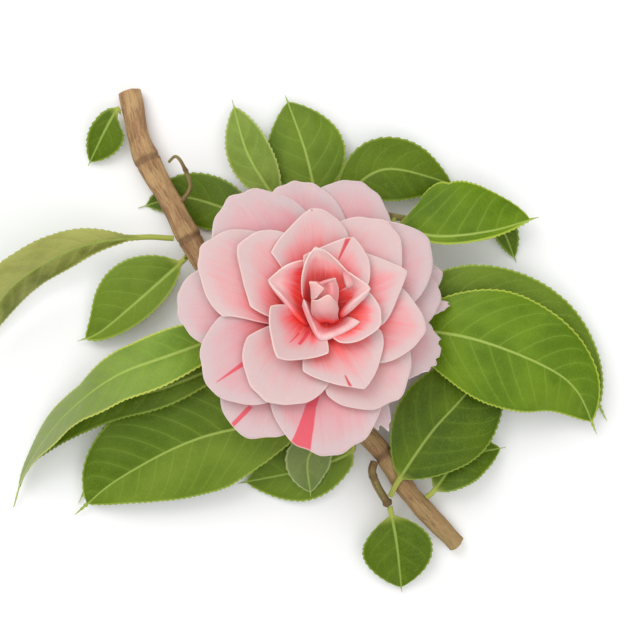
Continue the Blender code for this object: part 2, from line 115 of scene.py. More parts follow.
# Each leaf: the stem that bears it and where along it, the blade's half width left and right of
# the midrib, how many degrees its halves fold up, its green, and the points of its midrib from
# the blade's foot to its tip. Roll turns it, in degrees at even shares from seat to tip, middle
# moves its widest part, the tones of its left and its right half are painted light, a painted
# sheen that lightens a half turned to the light or painted shade that darkens a half in shade, it
# greys towards its tip as far as given, and trim scales its left and its right half's width at
# even shares from seat to tip.
LEAVES = {
    "leaf_far_left": grow(("main_stem", 0.285), (8.4, 12.0), 4, "olive", [
        (-55.8, 26.8, 12), (-74.6, 23.5, 15.5), (-94.6, 12.2, 15), (-108.2, -3.2, 9.4),
        (-121.06, -15.5, 2)], roll=(30, 55, 55), middle=1.2, tones=(-0.1, 0.5)),
    "leaf_left": grow(("main_stem", 0.305), (6.0, 13.6), 6, "mid", [
        (-42.2, 18.6, 8.6), (-58.0, 4.6, 8), (-69.4, -4.4, 5), (-77.0, -7.3, 2.2)], middle=0.86,
        tones=(0.4, 0.1)),
    "leaf_drooping": grow(("flower_twig", 0.3), (10, 12.6), 6, "soft", [
        (-20.4, -3.4, 20), (-44.4, -11.5, 24), (-63.2, -18.9, 22), (-80.3, -32.2, 15),
        (-93.3, -49.1, 7), (-98.5, -62.6, 1.5)], roll=(0, 0, -20, -52, -62, -68), dusty=0.85,
        trim=((1, 1), (1, 1, 0.66, 0.62, 0.95, 1))),
    "leaf_folded": grow(("main_stem", 0.48), (6, 6), 4, "dark", [
        (-22.0, -11.6, 14), (-44.5, -21.6, 18.5), (-65.5, -27.7, 16), (-82.0, -37.8, 9),
        (-93.7, -50.2, 2.6)]),
    "leaf_lower_left": grow(("main_stem", 0.61), (16.5, 18.5), 7, "mid", [
        (-1.0, -31.3, 12), (-35.3, -38.8, 13), (-62.0, -52.3, 9), (-77.8, -65.2, 2.4)],
        roll=(0, 4), tones=(0.25, -0.25),
        trim=((1, 1, 1.12, 1.08, 1, 1), (1, 1, 1, 1.08, 1.42, 1.8))),
    "leaf_under_left": grow(("main_stem", 0.55), (10, 15), 3, "pale", [
        (-8.6, -22.0, 7), (-42.0, -36.0, 7.4), (-62.0, -46.0, 5), (-72.5, -54.5, 2.4),
        (-76.8, -61.4, 1.0)], middle=1.25),
    "leaf_small": grow(("main_stem", 0.675), (7.5, 7.5), 8, "grey", [
        (6.0, -38.0, 8.4), (0.0, -46.0, 9.4), (0.9, -58.8, 6)], roll=(12, 10)),
    "leaf_under_bloom": grow(("main_stem", 0.71), (10, 10), 4, "mid", [
        (14.0, -44.0, 6), (0.6, -49.5, 5), (-23.3, -54.7, 2)], roll=(4, 4)),
    "leaf_right": grow(("right_twig", 1), (15.8, 18.5), 4, "bright", [
        (30.6, -3.2, 12.5), (52.3, -6.0, 20), (75.1, -14.4, 19), (87.7, -23.1, 13.5),
        (96.1, -38.3, 3)], trim=((1, 1.13, 1.17, 1.1, 1, 0.9), (1, 1))),
    "leaf_behind_right": grow(("right_twig", 0.55), (14.5, 14), 4, "mid", [
        (27.6, 2.6, 9.6), (52.0, 5.0, 12.6), (75.4, -3.6, 11.2), (90.4, -17.8, 6.6),
        (99.7, -33.9, 1.2)]),
    "leaf_lower_right": grow(("lower_twig", 0.93), (15, 17), 9, "dark", [
        (30.1, -52.0, 13), (40.2, -37.1, 14.5), (50.0, -26.5, 12), (66.0, -9.0, 6)],
        tones=(-0.05, -0.35)),
    "leaf_beside_stem": grow(("main_stem", 0.90), (7, 8.5), 6, "dark", [
        (41.6, -56.3, 9), (50.7, -45.8, 9.5), (65.6, -42.3, 5)], roll=(10, 10)),
    "leaf_behind_stem": grow(("upper_twig", 0.30), (8.6, 9), 3, "dark", [
        (-17.3, 32.4, 6), (-28.5, 37.2, 3.4), (-42.7, 40.8, 1.6), (-56.9, 37.2, 0.6)]),
    "leaf_top_narrow": grow(("upper_twig", 0.36), (7, 8), 5, "pale", [
        (-10.0, 38.4, 11), (-19.8, 54.2, 11.4), (-25.4, 73.0, 4)], roll=(10, 20)),
    "leaf_top": grow(("upper_twig", 0.50), (13, 13), 4, "mid", [
        (2.8, 39.4, 8), (-1.0, 55.7, 7.4), (-7.7, 74.6, 3)]),
    "leaf_top_behind": grow(("upper_twig", 0.62), (10.5, 10.5), 4, "dark", [
        (11.6, 39.6, 9), (25.6, 49.5, 9.5), (50.4, 44.4, 4)], tones=(0.4, 0)),
    "leaf_top_right": grow(("upper_twig", 0.78), (17, 2.6), 5, "bright", [
        (29.2, 30.4, 12.3), (42.6, 27.2, 15), (60.0, 29.0, 14.5), (76.2, 33.8, 8)], roll=(0, 6),
        tones=(-0.1, 0.1), trim=((1.6, 1.42, 1.05, 1.06, 1.15, 1.3), (1, 1))),
    "leaf_dark_tip": grow(("upper_twig", 1), (5, 3.5), 5, "dark", [
        (53.6, 31.6, 6.6), (63.4, 30.6, 5.6), (69.4, 19.1, 1.2)]),
    "leaf_bottom": grow(("lower_twig", 1), (11.5, 11.5), 6, "dark", [
        (27.5, -64.6, 9), (29.3, -74.5, 8), (31.2, -90.9, 2)]),
    "leaf_stem_top": grow(("main_stem", 0.05), (7, 4.6), 5, "dark", [
        (-63.4, 69.3, 6.4), (-67.3, 62.7, 6), (-73.5, 51.2, 1.4)]),
}

PETIOLE_WIDTH = 1.8
BLADE_MIDDLE = 0.92  # below 1, the blade is widest before the middle
DRIP_TIP = 0.93  # share of the blade that the drawn-out tip leaves
TIP_WIDTH = 0.05  # the drawn-out tip's width, as a share of the blade's
BLADE_ARCH = 0.010  # how fast the blade's halves turn down again, per millimetre
BLADE_OPENS = 3.5  # mm past the stalk where the blade is whole
TIP_CALM = 6.0  # mm of the tip over which teeth and waves die away
STALK_SHARE = 1 / 9  # share of a leaf's roll that is spent along its stalk

LEAF_SKIN = 0.42  # thickness of a blade between its veins
LEAST_HALF_WIDTH = 0.07  # of the very tip
MIDRIB_POINTS = 241
LEAF_COLUMNS = 29
HEADING_SPAN = np.linspace(-6, 6, 7)  # mm of midrib whose mean heading turns a row of the blade
LEAF_ROWS_PER_MM = 2.6
TOOTH_PITCH = 1.9
TOOTH_DEPTH = 0.52
TOOTH_HUG = 16  # how closely the teeth keep to the margin
MARGIN_WAVE = 0.45  # how far a margin waves up and down ...
MARGIN_WAVES = (4, 0.12, 0.36)  # ... in waves of that count, slowest and fastest pace
VEIN_PITCH = 6.6  # spacing of the side veins along the midrib
VEIN_SLANT = 0.62  # how far they run forward for each step outward
VEIN_SWEEP = 0.020  # and how fast they turn forward, per millimetre
VEIN_HOOK = 3.4  # how far they hook forward into loops near the margin
VEIN_HOOK_REACH = 6.0
VEIN_WIDTH = 0.42
VEIN_GROOVE = 0.10  # depth in the upper face ...
VEIN_KEEL = 0.10  # ... and height on the lower one
VEIN_END = 1.6  # mm from the margin over which the veins die away
MIDRIB_WIDTH = 0.6
MIDRIB_GROOVE = 0.25
MIDRIB_KEEL = 0.75
QUILTING = 0.12  # rise of the blade between two side veins

# Each petal, from the heart out: azimuth in degrees, reach of the tip from the axis, height of the
# tip over the bloom's foot, full width, how pointed it is from 0, round, to 1, or that for its
# counterclockwise and its clockwise side, and how far the tip leans counterclockwise.
PETALS = [
    (345, 20.0, 22.2, 20, 0.3, 0), (62, 24.0, 21.8, 23, (1.0, 0.25), 0.5),
    (231, 21.9, 21.2, 24.5, 1.0, 0), (22, 30.2, 19.4, 26, 0.8, 0),
    (298, 29.5, 18.8, 28.5, (0.45, 0.9), 0), (90, 31.3, 18.4, 26, (0.9, 0.0), 2),
    (145, 31.8, 17.2, 26, (1.0, 0.05), -1), (348, 35.2, 16.6, 27, 0.3, 0),
    (48, 36.2, 15.8, 28, 0.2, 0), (241, 33.9, 15.0, 29.5, 0.15, 0),
    (149, 41.0, 13.4, 29.5, (0.35, 0.05), 3), (312, 38.6, 12.8, 32, 0.2, 0),
    (32, 43.8, 12.0, 30, 0.2, 0), (216, 42.2, 11.4, 31.5, 0.1, 0), (127, 44.8, 10.6, 34, 0.1, 0),
    (98, 42.4, 9.8, 29, 0.1, 0), (277, 46.4, 9.0, 36, 0.1, 0), (69, 45.4, 8.2, 31, 0.1, 0),
    (177, 43.8, 7.4, 30, 0.1, 0), (10, 42.4, 6.8, 27, 0.2, 0), (341, 43.6, 6.2, 25, 0.2, 0),
    (239, 45.5, 5.6, 31, 0.1, 0), (18, 45.2, 4.6, 20, 0.3, 0), (4, 46.0, 3.8, 13, 0.9, 0),
    (303, 44.4, 3.2, 15, 0.4, 0),
]
PETAL_CAP = 0.44  # share of a petal's length taken by its rounded end
PETAL_FOOT_WIDTH = 4.4
FOOT_SPREAD = 0.9  # below 1, a petal is broad soon above its foot ...
FOOT_SPREADS = {145: 0.42, 149: 0.42}  # ... and how soon on some, by their azimuth
PETAL_RISE = 0.45  # how far the foot's direction carries, as a share of the petal's chord
PETAL_ARCH = 0.40  # and how far back the tip's does
LEAST_BEND = 0.002  # a petal's cup across its width, per millimetre
NARROWEST_WRAP = 3.5  # radius of the tightest wrap round the axis
# How petals stand, by the height of their tips: pitch at the foot and at the tip, in degrees
PETAL_HEIGHTS = (3, 8, 14, 18, 22, 26.5, 30)
FOOT_PITCH = (12, 28, 42, 52, 64, 75, 86)
TIP_PITCH = (-14, -6, 5, 14, 28, 52, 100)
BUD_HEIGHT = 30.0

# Pale, pink and coral of a petal in the heart, in the middle of the bloom and at its outside. The
# paints of the heart, and most of all those of its back petal, are lighter than the petals' own
# colour: painted light that lifts the shade deep in the heart
LIT_BACK_PAINTS = (srgb(255, 226, 223), srgb(255, 178, 181), srgb(255, 114, 110))
LIT_HEART_PAINTS = (srgb(240, 202, 200), srgb(246, 158, 162), srgb(255, 80, 74))
BUD_PAINTS = (srgb(236, 184, 180), srgb(242, 150, 154), srgb(255, 84, 78))
MIDDLE_PAINTS = (srgb(216, 189, 188), srgb(236, 154, 158), srgb(248, 84, 78))
OUTER_PAINTS = (srgb(210, 186, 187), srgb(228, 150, 157), srgb(240, 88, 84))

# The folded petals at the bloom's heart: rows of places across each from foot to tip, from its
# left side to its right, the shares of its length where its coral starts to fade and is gone, and
# where its pink does, and its paints
HEART = {
    "heart_back": dict(flush=(0.48, 0.68, 0.6, 0.95), paints=LIT_BACK_PAINTS, rows=[
        [(0.6, 4.5, 31), (2.3, 4.5, 30), (5, 5.1, 30), (8.2, 5.1, 30), (10.6, 5.1, 28.5)],
        [(-1.4, 6.4, 39.5), (0.9, 8.5, 35), (5, 10.3, 34), (9.7, 10.3, 35), (13.8, 8.5, 34.5)],
        [(-1.9, 10.7, 43.5), (0.6, 12.8, 38.5), (5, 14.3, 38), (9.6, 14.3, 39), (14.3, 12, 38.5)],
        [(-1.5, 14.7, 46), (0.9, 16.8, 42), (5, 18.3, 41.5), (8.4, 17.7, 42), (12.5, 14.8, 42.5)],
        [(-0.2, 18.7, 47), (1.2, 19.6, 45), (3.8, 20.5, 44.5), (6.7, 19.9, 44.5), (9, 18.5, 44.5)],
        [(2.2, 22.3, 47.3), (2.7, 22.4, 47.2), (3.5, 22, 47), (4.4, 21.8, 46.8),
         (5.2, 21.6, 46.5)],
    ]),
    "heart_right": dict(flush=(0.5, 0.68, 0.6, 0.9), paints=LIT_HEART_PAINTS, rows=[
        [(10.6, 11, 30), (10, 8, 29.5), (9.7, 6.3, 29), (9.4, 4.5, 29.5), (9.1, 2.1, 33),
         (9.3, 0.8, 32)],
        [(10.8, 14.1, 36), (11.4, 10.3, 35), (11.6, 7.4, 34), (11.4, 5, 35), (10.3, 2.2, 40),
         (10.8, 0.6, 38.5)],
        [(12.4, 14.9, 41.2), (13.4, 11.9, 39.6), (13.7, 8.5, 37.5), (13.4, 6.2, 38.5),
         (12.2, 3.7, 42.5), (13.2, 2.2, 41)],
        [(14.5, 13.6, 43.8), (15.7, 11.3, 42.2), (16, 9, 41), (15.7, 7.3, 41.8), (14.9, 6, 44),
         (16.4, 5.2, 42.5)],
        [(16.8, 12.1, 43.9), (17.4, 10.7, 43.2), (17.7, 9.3, 42.8), (17.5, 8.4, 43.3),
         (17.2, 7.8, 44.2), (18.5, 7.4, 43)],
        [(18.6, 11, 43.9), (19.1, 10.4, 43.8), (19.4, 10, 43.8), (19.6, 9.6, 43.8),
         (19.4, 9.2, 43.8), (19, 8.5, 43.4)],
    ]),
    "heart_left": dict(flush=(0.46, 0.68, 0.6, 0.92), paints=LIT_HEART_PAINTS, rows=[
        [(0.6, -2.7, 31), (0.7, -1.4, 33), (0.6, 1.5, 29), (0.6, 4.5, 28), (0.6, 8.6, 28),
         (0.6, 14.2, 31)],
        [(-1.4, -1.9, 34), (-1.1, -0.5, 37), (-1.5, 2.1, 33.5), (-1.6, 5.6, 33), (-1.6, 10.3, 34),
         (-0.7, 18.3, 39)],
        [(-4.3, 1.2, 37), (-4, 2.4, 39.6), (-3.8, 4.4, 36.5), (-3.8, 7.9, 35.5), (-3.7, 12.6, 37),
         (-3.7, 18.1, 41.4)],
        [(-8.1, 5.9, 39.5), (-7.7, 6.8, 41.4), (-7.2, 8.2, 39), (-6.9, 10.2, 38.6),
         (-6.9, 13.1, 39.4), (-7.1, 16.7, 42)],
        [(-10.8, 9.3, 41), (-10.5, 9.7, 42), (-10.1, 10.5, 41), (-9.9, 11.6, 40.5),
         (-9.9, 12.8, 41), (-9.9, 14.5, 42.2)],
        [(-12.1, 11.5, 42), (-12.2, 11.8, 42.2), (-12.3, 11.9, 42.2), (-12.3, 12.1, 42.2),
         (-12.3, 12.3, 42.2), (-12.1, 12.5, 42.2)],
    ]),
    "heart_front": dict(flush=(0.34, 0.6, 0.62, 1.05), paints=LIT_HEART_PAINTS, rows=[
        [(10.8, 0.9, 36), (9.7, 0.6, 34.5), (7.9, 0.5, 34), (5.6, 0.6, 34), (3.8, 2.4, 34),
         (2.4, 5, 33)],
        [(12.5, 0.8, 39), (10.8, -1, 38), (8.2, -2.1, 37), (5.4, -2.1, 36.5), (3.2, 0.3, 37),
         (0.6, 5, 36)],
        [(14.3, 0.3, 42), (12.5, -1.5, 42), (8.6, -3.6, 41.2), (4.5, -4.7, 41.4), (1.7, -1, 42),
         (-0.9, 6, 41.4)],
        [(16.2, -0.6, 42), (13.6, -2.5, 42), (9, -4.9, 41.4), (4, -6.1, 41.4), (1.5, -1.2, 42),
         (-1.3, 6.1, 41.4)],
        [(16.4, -0.9, 40.6), (13.8, -2.9, 40.6), (9.1, -5.2, 40), (3.9, -6.4, 40),
         (0.6, -1.5, 39.6), (-1.7, 4.4, 39)],
    ]),
    "heart_fold": dict(flush=(-1, -0.5, 0.0, 1.2), paints=LIT_HEART_PAINTS, rows=[
        [(11, 16.4, 41.4), (12.8, 14.9, 41.8), (16, 12.8, 41.4)],
        [(11.2, 13.9, 40.7), (12.5, 12.9, 41), (15.7, 11.5, 41)],
        [(11.7, 11.4, 39.9), (12.6, 10.8, 40.2), (14.3, 10.3, 39.2)],
        [(12.2, 9.9, 39.2), (12.8, 9.8, 39.3), (13.4, 10.2, 39)],
    ]),
    "bud_body": dict(flush=(0.1, 0.35, 0.5, 1.4), paints=BUD_PAINTS, rows=[
        [(2.1, 0.3, 37), (3.5, -0.7, 37), (5.9, -0.5, 37), (8.2, -0.8, 37), (9.8, 0.2, 37)],
        [(1.3, 2.1, 42), (3.2, 1.5, 45), (5.5, 1.2, 45.5), (7.8, 1.2, 45), (9.3, 1.8, 42)],
        [(1.3, 4.9, 45), (3.3, 4.3, 47.5), (5.5, 4.1, 48), (7.8, 4.3, 47.5), (9.3, 4.2, 45)],
        [(1.3, 7.8, 47), (3.3, 7.5, 49), (5.5, 7.5, 48.8), (7.8, 7.7, 50.2), (9.7, 7.8, 47)],
        [(1, 10, 49), (2.7, 10, 50.6), (5.1, 9.8, 49), (7.5, 10.3, 51.2), (9.6, 10, 48.5)],
        [(0.6, 11.5, 50.6), (2.7, 11.3, 50.6), (4.4, 10.8, 49), (6.7, 11.7, 51.4),
         (8.7, 12.3, 50.6)],
        [(0.7, 11.9, 44), (2.7, 11.9, 44), (4.7, 11.4, 44), (6.7, 12.3, 44), (8.7, 12.7, 44)],
    ]),
    "bud_wrap": dict(flush=(0.16, 0.66, 0.4, 1.1), paints=BUD_PAINTS, rows=[
        [(2.3, 0.1, 37.6), (3.8, -0.8, 38), (5.9, -0.6, 38.3), (7.9, -1.1, 38), (9.9, -0.1, 37)],
        [(1.3, 2.2, 43.2), (3.3, 1.8, 46.4), (5.5, 1.5, 47.2), (7.8, 1.8, 46.6), (9.4, 1.4, 43)],
        [(1.2, 4.5, 46), (3.3, 4.3, 49.4), (5.7, 4.3, 50.2), (8, 4.3, 49.4), (9.6, 3.2, 45.6)],
        [(1.3, 6.3, 47.8), (3.1, 6, 50.4), (6.4, 7.6, 51.6), (8, 6.3, 50.4), (9.2, 4.9, 47)],
    ]),
    "bud_flap": dict(flush=(-1, -0.5, -0.5, 0.4), paints=BUD_PAINTS, rows=[
        [(0.6, 11.5, 51.6), (1, 10, 50.6), (1.2, 8.3, 49.6), (1.3, 6.3, 48.2)],
        [(1.7, 11.5, 52), (2.4, 10, 51.6), (2.5, 8.3, 51), (2.1, 6.3, 49.6)],
        [(2.5, 11.5, 52.1), (3.7, 10.1, 51.9), (3.8, 8.4, 51.5), (2.5, 6.5, 50.4)],
        [(2.8, 11.3, 52.1), (4.7, 9.9, 51.9), (5, 9.3, 51.7), (2.9, 6.7, 50.8)],
    ]),
    "bud_lip": dict(flush=(-1, -0.5, 0.2, 1.4), paints=BUD_PAINTS, rows=[
        [(3.8, 11.4, 51), (3.9, 11.1, 51.8), (4.2, 10.6, 51.2)],
        [(5, 11.8, 51.2), (5.1, 11.4, 52), (5.3, 11, 51.4)],
        [(6.7, 12.3, 51.6), (6.8, 12, 52.3), (7, 11.6, 51.7)],
        [(8.6, 12.7, 51.4), (8.7, 12.5, 52), (8.8, 12.1, 51.4)],
    ]),
}
HEART_ROWS = 40
HEART_COLUMNS = 33
BUD_FLOOR = 36  # height at which the bud's body is closed ...
BUD_FLOOR_SHARE = 0.7  # ... and its width there, as a share of the body's

# Skins: their thickness, the share of it at the very margin, and the mm over which it grows
PETAL_SKIN = (0.55, 0.45, 0.7)
SEPAL_SKIN = (0.45, 0.4, 0.8)

PETAL_ROWS = 46
PETAL_COLUMNS = 41
PETAL_RUFFLE = 0.30  # how far the outer margins wave ...
RUFFLE_ACROSS = (4, 2, 7)  # ... in waves of that count, slowest and fastest pace
RUFFLE_ALONG = (3, 3, 8)
SIDE_RUFFLE = 0.6
PETAL_UNEVEN = 0.012  # how uneven the outline is, as a share of the length ...
OUTLINE_WAVES = (5, 3, 15)
FRAYED = {341: 0.028, 303: 0.04, 4: 0.03}  # ... and how much more on some, by their azimuth
FRAYED_WAVES = (5, 12, 30)

# Solids turned about the bloom's axis, as (radius, height) from top to bottom
BUD_CORE = [(0, 14.5), (1.2, 14.3), (1.7, 12.0), (1.8, 9.0), (2.4, 6.0), (4.4, 3.0), (5.9, 0.6),
            (0, 0)]
CALYX = [(0, -0.3), (6.6, -0.3), (7.4, -1.4), (6.6, -3.4), (4.4, -5.2), (2.4, -6.2), (0, -6.3)]
TURNED_SIDES = 32


# ---- shader expressions

def math_operator(operation, swapped=False):
    """A method that joins a Paint and another value by a Math node."""
    def join(self, other):
        return self.math(operation, *((other, self) if swapped else (self, other)))
    return join


class Paint:
    """A value, vector or colour inside one material's node tree. Sums on values add Math nodes."""

    def __init__(self, tree, socket=None):
        self.tree = tree
        self.socket = socket

    def node(self, kind, settings=None, sockets=None, output=0):
        """Adds a node with its settings and then its sockets, and wraps one of its outputs."""
        added = self.tree.nodes.new("ShaderNode" + kind)
        for setting, value in (settings or {}).items():
            setattr(added, setting, value)
        for place, value in (sockets or {}).items():
            if isinstance(value, Paint):
                self.tree.links.new(value.socket, added.inputs[place])
            else:
                added.inputs[place].default_value = value
        return Paint(self.tree, added.outputs[output])

    def math(self, operation, *values):
        return self.node("Math", {"operation": operation}, dict(enumerate(values)))

    __add__ = __radd__ = math_operator("ADD")
    __mul__ = __rmul__ = math_operator("MULTIPLY")
    __sub__ = math_operator("SUBTRACT")
    __rsub__ = math_operator("SUBTRACT", swapped=True)
    __truediv__ = math_operator("DIVIDE")
    __rtruediv__ = math_operator("DIVIDE", swapped=True)
    __gt__ = math_operator("GREATER_THAN")

    def size(self):
        return self.math("ABSOLUTE", self)

    def rise(self, low, high):
        """0 below low, 1 above high, and a soft slope between them."""
        return self.node("MapRange", {"interpolation_type": "SMOOTHSTEP"},
                         {"Value": self, "From Min": low, "From Max": high})

    def fall(self, low, high):
        return 1 - self.rise(low, high)

    def vector(self, x, y, z):
        return self.node("CombineXYZ", sockets={"X": x, "Y": y, "Z": z})

    def parts(self):
        split = self.node("SeparateXYZ", sockets={"Vector": self}).socket.node
        return [Paint(self.tree, output) for output in split.outputs]

    def noise(self, scale, detail=3.0, roughness=0.5):
        """Noise of 0 to 1 at this vector."""
        return self.node("TexNoise", sockets={"Vector": self, "Scale": scale, "Detail": detail,
                                              "Roughness": roughness})

    def attribute(self, name):
        return self.node("Attribute", {"attribute_name": name}, output="Vector")

    def blend(self, one, other):
        """The colour one where this value is 0 and the colour other where it is 1."""
        return self.node("Mix", {"data_type": "RGBA"},
                         {"Factor": self, "A": one, "B": other}, output="Result")


def new_finish(name, constants):
    """A finish with constants set on its shader, and the Paint that its patterns start from."""
    finish = bpy.data.materials.new(name)
    finish.use_nodes = True
    shader = finish.node_tree.nodes["Principled BSDF"]
    for socket, value in constants.items():
        shader.inputs[socket].default_value = value
    return finish, Paint(finish.node_tree)


def dress(finish, colour, roughness, relief, depth):
    """Feeds a finish with its colour and roughness, and a relief of that depth in millimetres."""
    tree = finish.node_tree
    shader = tree.nodes["Principled BSDF"]
    heights = {"Height": relief, "Distance": depth * MM}
    normal = relief.node("Bump", sockets=heights, output="Normal")
    tree.links.new(colour.socket, shader.inputs["Base Color"])
    tree.links.new(roughness.socket, shader.inputs["Roughness"])
    tree.links.new(normal.socket, shader.inputs["Normal"])
    return finish


# ---- curves

def smooth_path(points, count):
    """Evenly spaced points on one smooth curve that passes through all the given ones."""
    knots = np.array(points, float)
    padded = np.vstack([2 * knots[0] - knots[1], knots, 2 * knots[-1] - knots[-2]])
    share = np.linspace(0, 1, 16, endpoint=False)[:, None]
    spans = []
    for before, start, end, after in zip(padded, padded[1:], padded[2:], padded[3:]):
        spans.append(0.5 * (2 * start + (end - before) * share
                            + (2 * before - 5 * start + 4 * end - after) * share ** 2
                            + (3 * start - 3 * end + after - before) * share ** 3))
    curve = np.vstack(spans + [knots[-1:]])
    run = run_along(curve)
    return follow(curve, run, np.linspace(0, run[-1], count))


def run_along(curve):
    """Distance of each point of a polyline from its start, measured along it."""
    steps = np.linalg.norm(np.diff(curve, axis=0), axis=1)
    return np.concatenate([[0], np.cumsum(steps)])


def follow(values, run, distance):
    """Rows of values read at distances along a run."""
    return np.column_stack([np.interp(distance, run, column) for column in values.T])


def unit(vectors):
    return vectors / np.linalg.norm(vectors, axis=-1, keepdims=True)


def soft_step(value, low, high):
    share = np.clip((value - low) / (high - low), 0, 1)
    return share * share * (3 - 2 * share)


def ripples(dice, count, lowest, highest):
    """A gentle random wave with a mean of 0 and a size of about 1, as a function of one place."""
    pace = dice.uniform(lowest, highest, count)
    start = dice.uniform(0, 2 * pi, count)
    height = dice.uniform(0.5, 1, count) / sqrt(count)

    def wave(place):
        return sum(tall * np.sin(fast * place + begin)
                   for fast, begin, tall in zip(pace, start, height))
    return wave


# ---- skins

def normals_of(sheet):
    """Upward normals of a grid of places whose columns run to the right of its rows' heading."""
    ahead = np.gradient(sheet, axis=0)
    right = np.gradient(sheet, axis=1)
    return unit(np.cross(right, ahead))


def triples(shape, *parts):
    """A grid of that shape with three numbers at each of its places."""
    return np.stack([np.broadcast_to(part, shape) for part in parts], axis=-1)


def skin_object(name, top, under, facts, finish):
    """A closed skin between two grids of places: a top, an underside and the rim that joins them.

    Each fact is a pair of grids: for the top and for the underside.
    """
    rows, columns = top.shape[:2]
    count = rows * columns
    number = np.arange(count).reshape(rows, columns)
    corners = [number[:-1, :-1], number[:-1, 1:], number[1:, 1:], number[1:, :-1]]
    faces = np.stack(corners, axis=-1).reshape(-1, 4)
    edge = np.concatenate([number[0, :-1], number[:-1, -1], number[-1, :0:-1], number[:0:-1, 0]])
    ahead = np.roll(edge, -1)
    rim = np.stack([ahead, edge, edge + count, ahead + count], axis=-1)
    faces = np.vstack([faces, faces[:, ::-1] + count, rim])
    places = [top.reshape(-1, 3), under.reshape(-1, 3)]
    facts = {fact: [grid.reshape(-1, 3) for grid in grids] for fact, grids in facts.items()}
    return mesh_object(name, places, faces.tolist(), facts, finish)


def mesh_object(name, places, faces, facts, finish):
    """A smooth piece. Each fact is three numbers a place, which the finish reads by name."""
    mesh = bpy.data.meshes.new(name)
    mesh.from_pydata((np.vstack(places) + GROUND_POINT) * MM, [], faces)
    for fact, blocks in facts.items():
        attribute = mesh.attributes.new(fact, "FLOAT_VECTOR", "POINT")
        attribute.data.foreach_set("vector", np.vstack(blocks).astype(np.float32).ravel())
    mesh.shade_smooth()
    return add_piece(name, mesh, finish)


def add_piece(name, mesh, finish):
    piece = bpy.data.objects.new(name, mesh)
    mesh.materials.append(finish)
    bpy.context.scene.collection.objects.link(piece)
    return piece


def settle(piece, node):
    """The piece stands for a solid of the frame and moves with the branch."""
    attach(piece, "root")
    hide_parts(node)


# ---- stems and twigs

def stem_line(name, count=None):
    """Points along a stem's axis and its radius at each of them."""
    stem = STEMS[name]
    route = stem["route"]
    if stem["bearer"]:
        route = [seat_on(*stem["bearer"], route[0], stem["radius"][0]), *route]
    line = smooth_path(route, count or stem["steps"] + 1)
    share = np.linspace(0, 1, len(line))
    radius = np.interp(share, (0, 1), stem["radius"])
    for place, height in stem["nodes"]:
        radius += height * np.exp(-((share - place) / NODE_SPREAD) ** 2)
    return line, radius


def seat_on(name, share, towards, half_width):
    """The point just clear of a stem's bark from which a stalk leaves it for another point."""
    line, radius = stem_line(name)
    shares = np.linspace(0, 1, len(line))
    centre = follow(line, shares, [share])[0]
    axis = unit(follow(np.gradient(line, axis=0), shares, [share])[0])
    heading = unit(np.array(towards) - centre)
    along = abs(heading @ axis)
    across = np.linalg.norm(np.cross(heading, axis))
    if share == 1:  # the stalk carries on from its end
        return centre + axis * (SEAT_GAP + half_width * across)
    clear = np.interp(share, shares, radius) + SEAT_GAP + half_width * along
    return centre + heading * clear / across


def stem_object(name, finish, sides, dice):
    """A limb with ridged bark, ring scars at its nodes and flat cut ends."""
    coarse, _ = stem_line(name)
    length = run_along(coarse)[-1]
    line, radius = stem_line(name, int(length * BARK_ROWS_PER_MM))
    run = run_along(line)
    share = run / run[-1]
    heading = unit(np.gradient(line, axis=0))
    right = unit(np.cross(heading, (0.2, 0.1, 1)))
    up = np.cross(right, heading)
    turn = np.linspace(0, 2 * pi, sides, endpoint=False)[None, :]
    girth = np.ones((len(line), sides))
    for lobes in BARK_LOBES:
        drift = LOBE_DRIFT_SIZE * ripples(dice, *LOBE_DRIFT)(run)[:, None]
        girth += BARK_RIDGES / lobes * np.cos(lobes * turn + drift + dice.uniform(0, 2 * pi))
    girth += BARK_RIDGES / 3 * ripples(dice, *GIRTH_WAVES)(run)[:, None]
    radius = radius[:, None] * girth
    nodes = [node for node, _ in STEMS[name]["nodes"]]
    for node in nodes:
        sway = SCAR_SWAY * np.sin(turn + dice.uniform(0, 2 * pi))
        ring = (share - node)[:, None] * run[-1] + sway
        radius -= SCAR_DEPTH * np.exp(-(ring / SCAR_WIDTH) ** 2) * radius
    scars = sum(np.exp(-((share - node) * run[-1] / (3 * SCAR_WIDTH)) ** 2) for node in nodes)
    places = (line[:, None] + radius[..., None] * (np.cos(turn)[..., None] * right[:, None]
                                                  + np.sin(turn)[..., None] * up[:, None]))
    places[..., 2] = np.maximum(places[..., 2], 0)  # the bark rests on the table
    shape = radius.shape
    around = triples(shape, radius * np.cos(turn), radius * np.sin(turn), run[:, None])
    state = triples(shape, 0, share[:, None], scars[:, None])
    return tube_object(name + "_bark", places, line[[0, -1]], around, state, finish)


def tube_object(name, places, ends, around, state, finish):
    """A closed tube over rings of places. Its flat ends are 1 in the state's first number."""
    rows, sides = places.shape[:2]
    count = rows * sides
    number = np.arange(count).reshape(rows, sides)
    beside = np.roll(number, -1, axis=1)
    corners = [number[:-1], number[1:], beside[1:], beside[:-1]]
    faces = np.stack(corners, axis=-1).reshape(-1, 4).tolist()
    first = count + np.arange(sides)
    last = first + sides
    faces += [(a, b, count + 2 * sides) for a, b in zip(first, np.roll(first, -1))]
    faces += [(b, a, count + 2 * sides + 1) for a, b in zip(last, np.roll(last, -1))]
    cut = np.array([1.0, 0, 0])
    facts = {"bark_place": [around.reshape(-1, 3), around[0], around[-1], np.zeros((2, 3))],
             "bark_state": [state.reshape(-1, 3), state[0] + cut, state[-1] + cut,
                            np.tile(cut, (2, 1))]}
    places = [places.reshape(-1, 3), places[0], places[-1], ends]
    return mesh_object(name, places, faces, facts, finish)


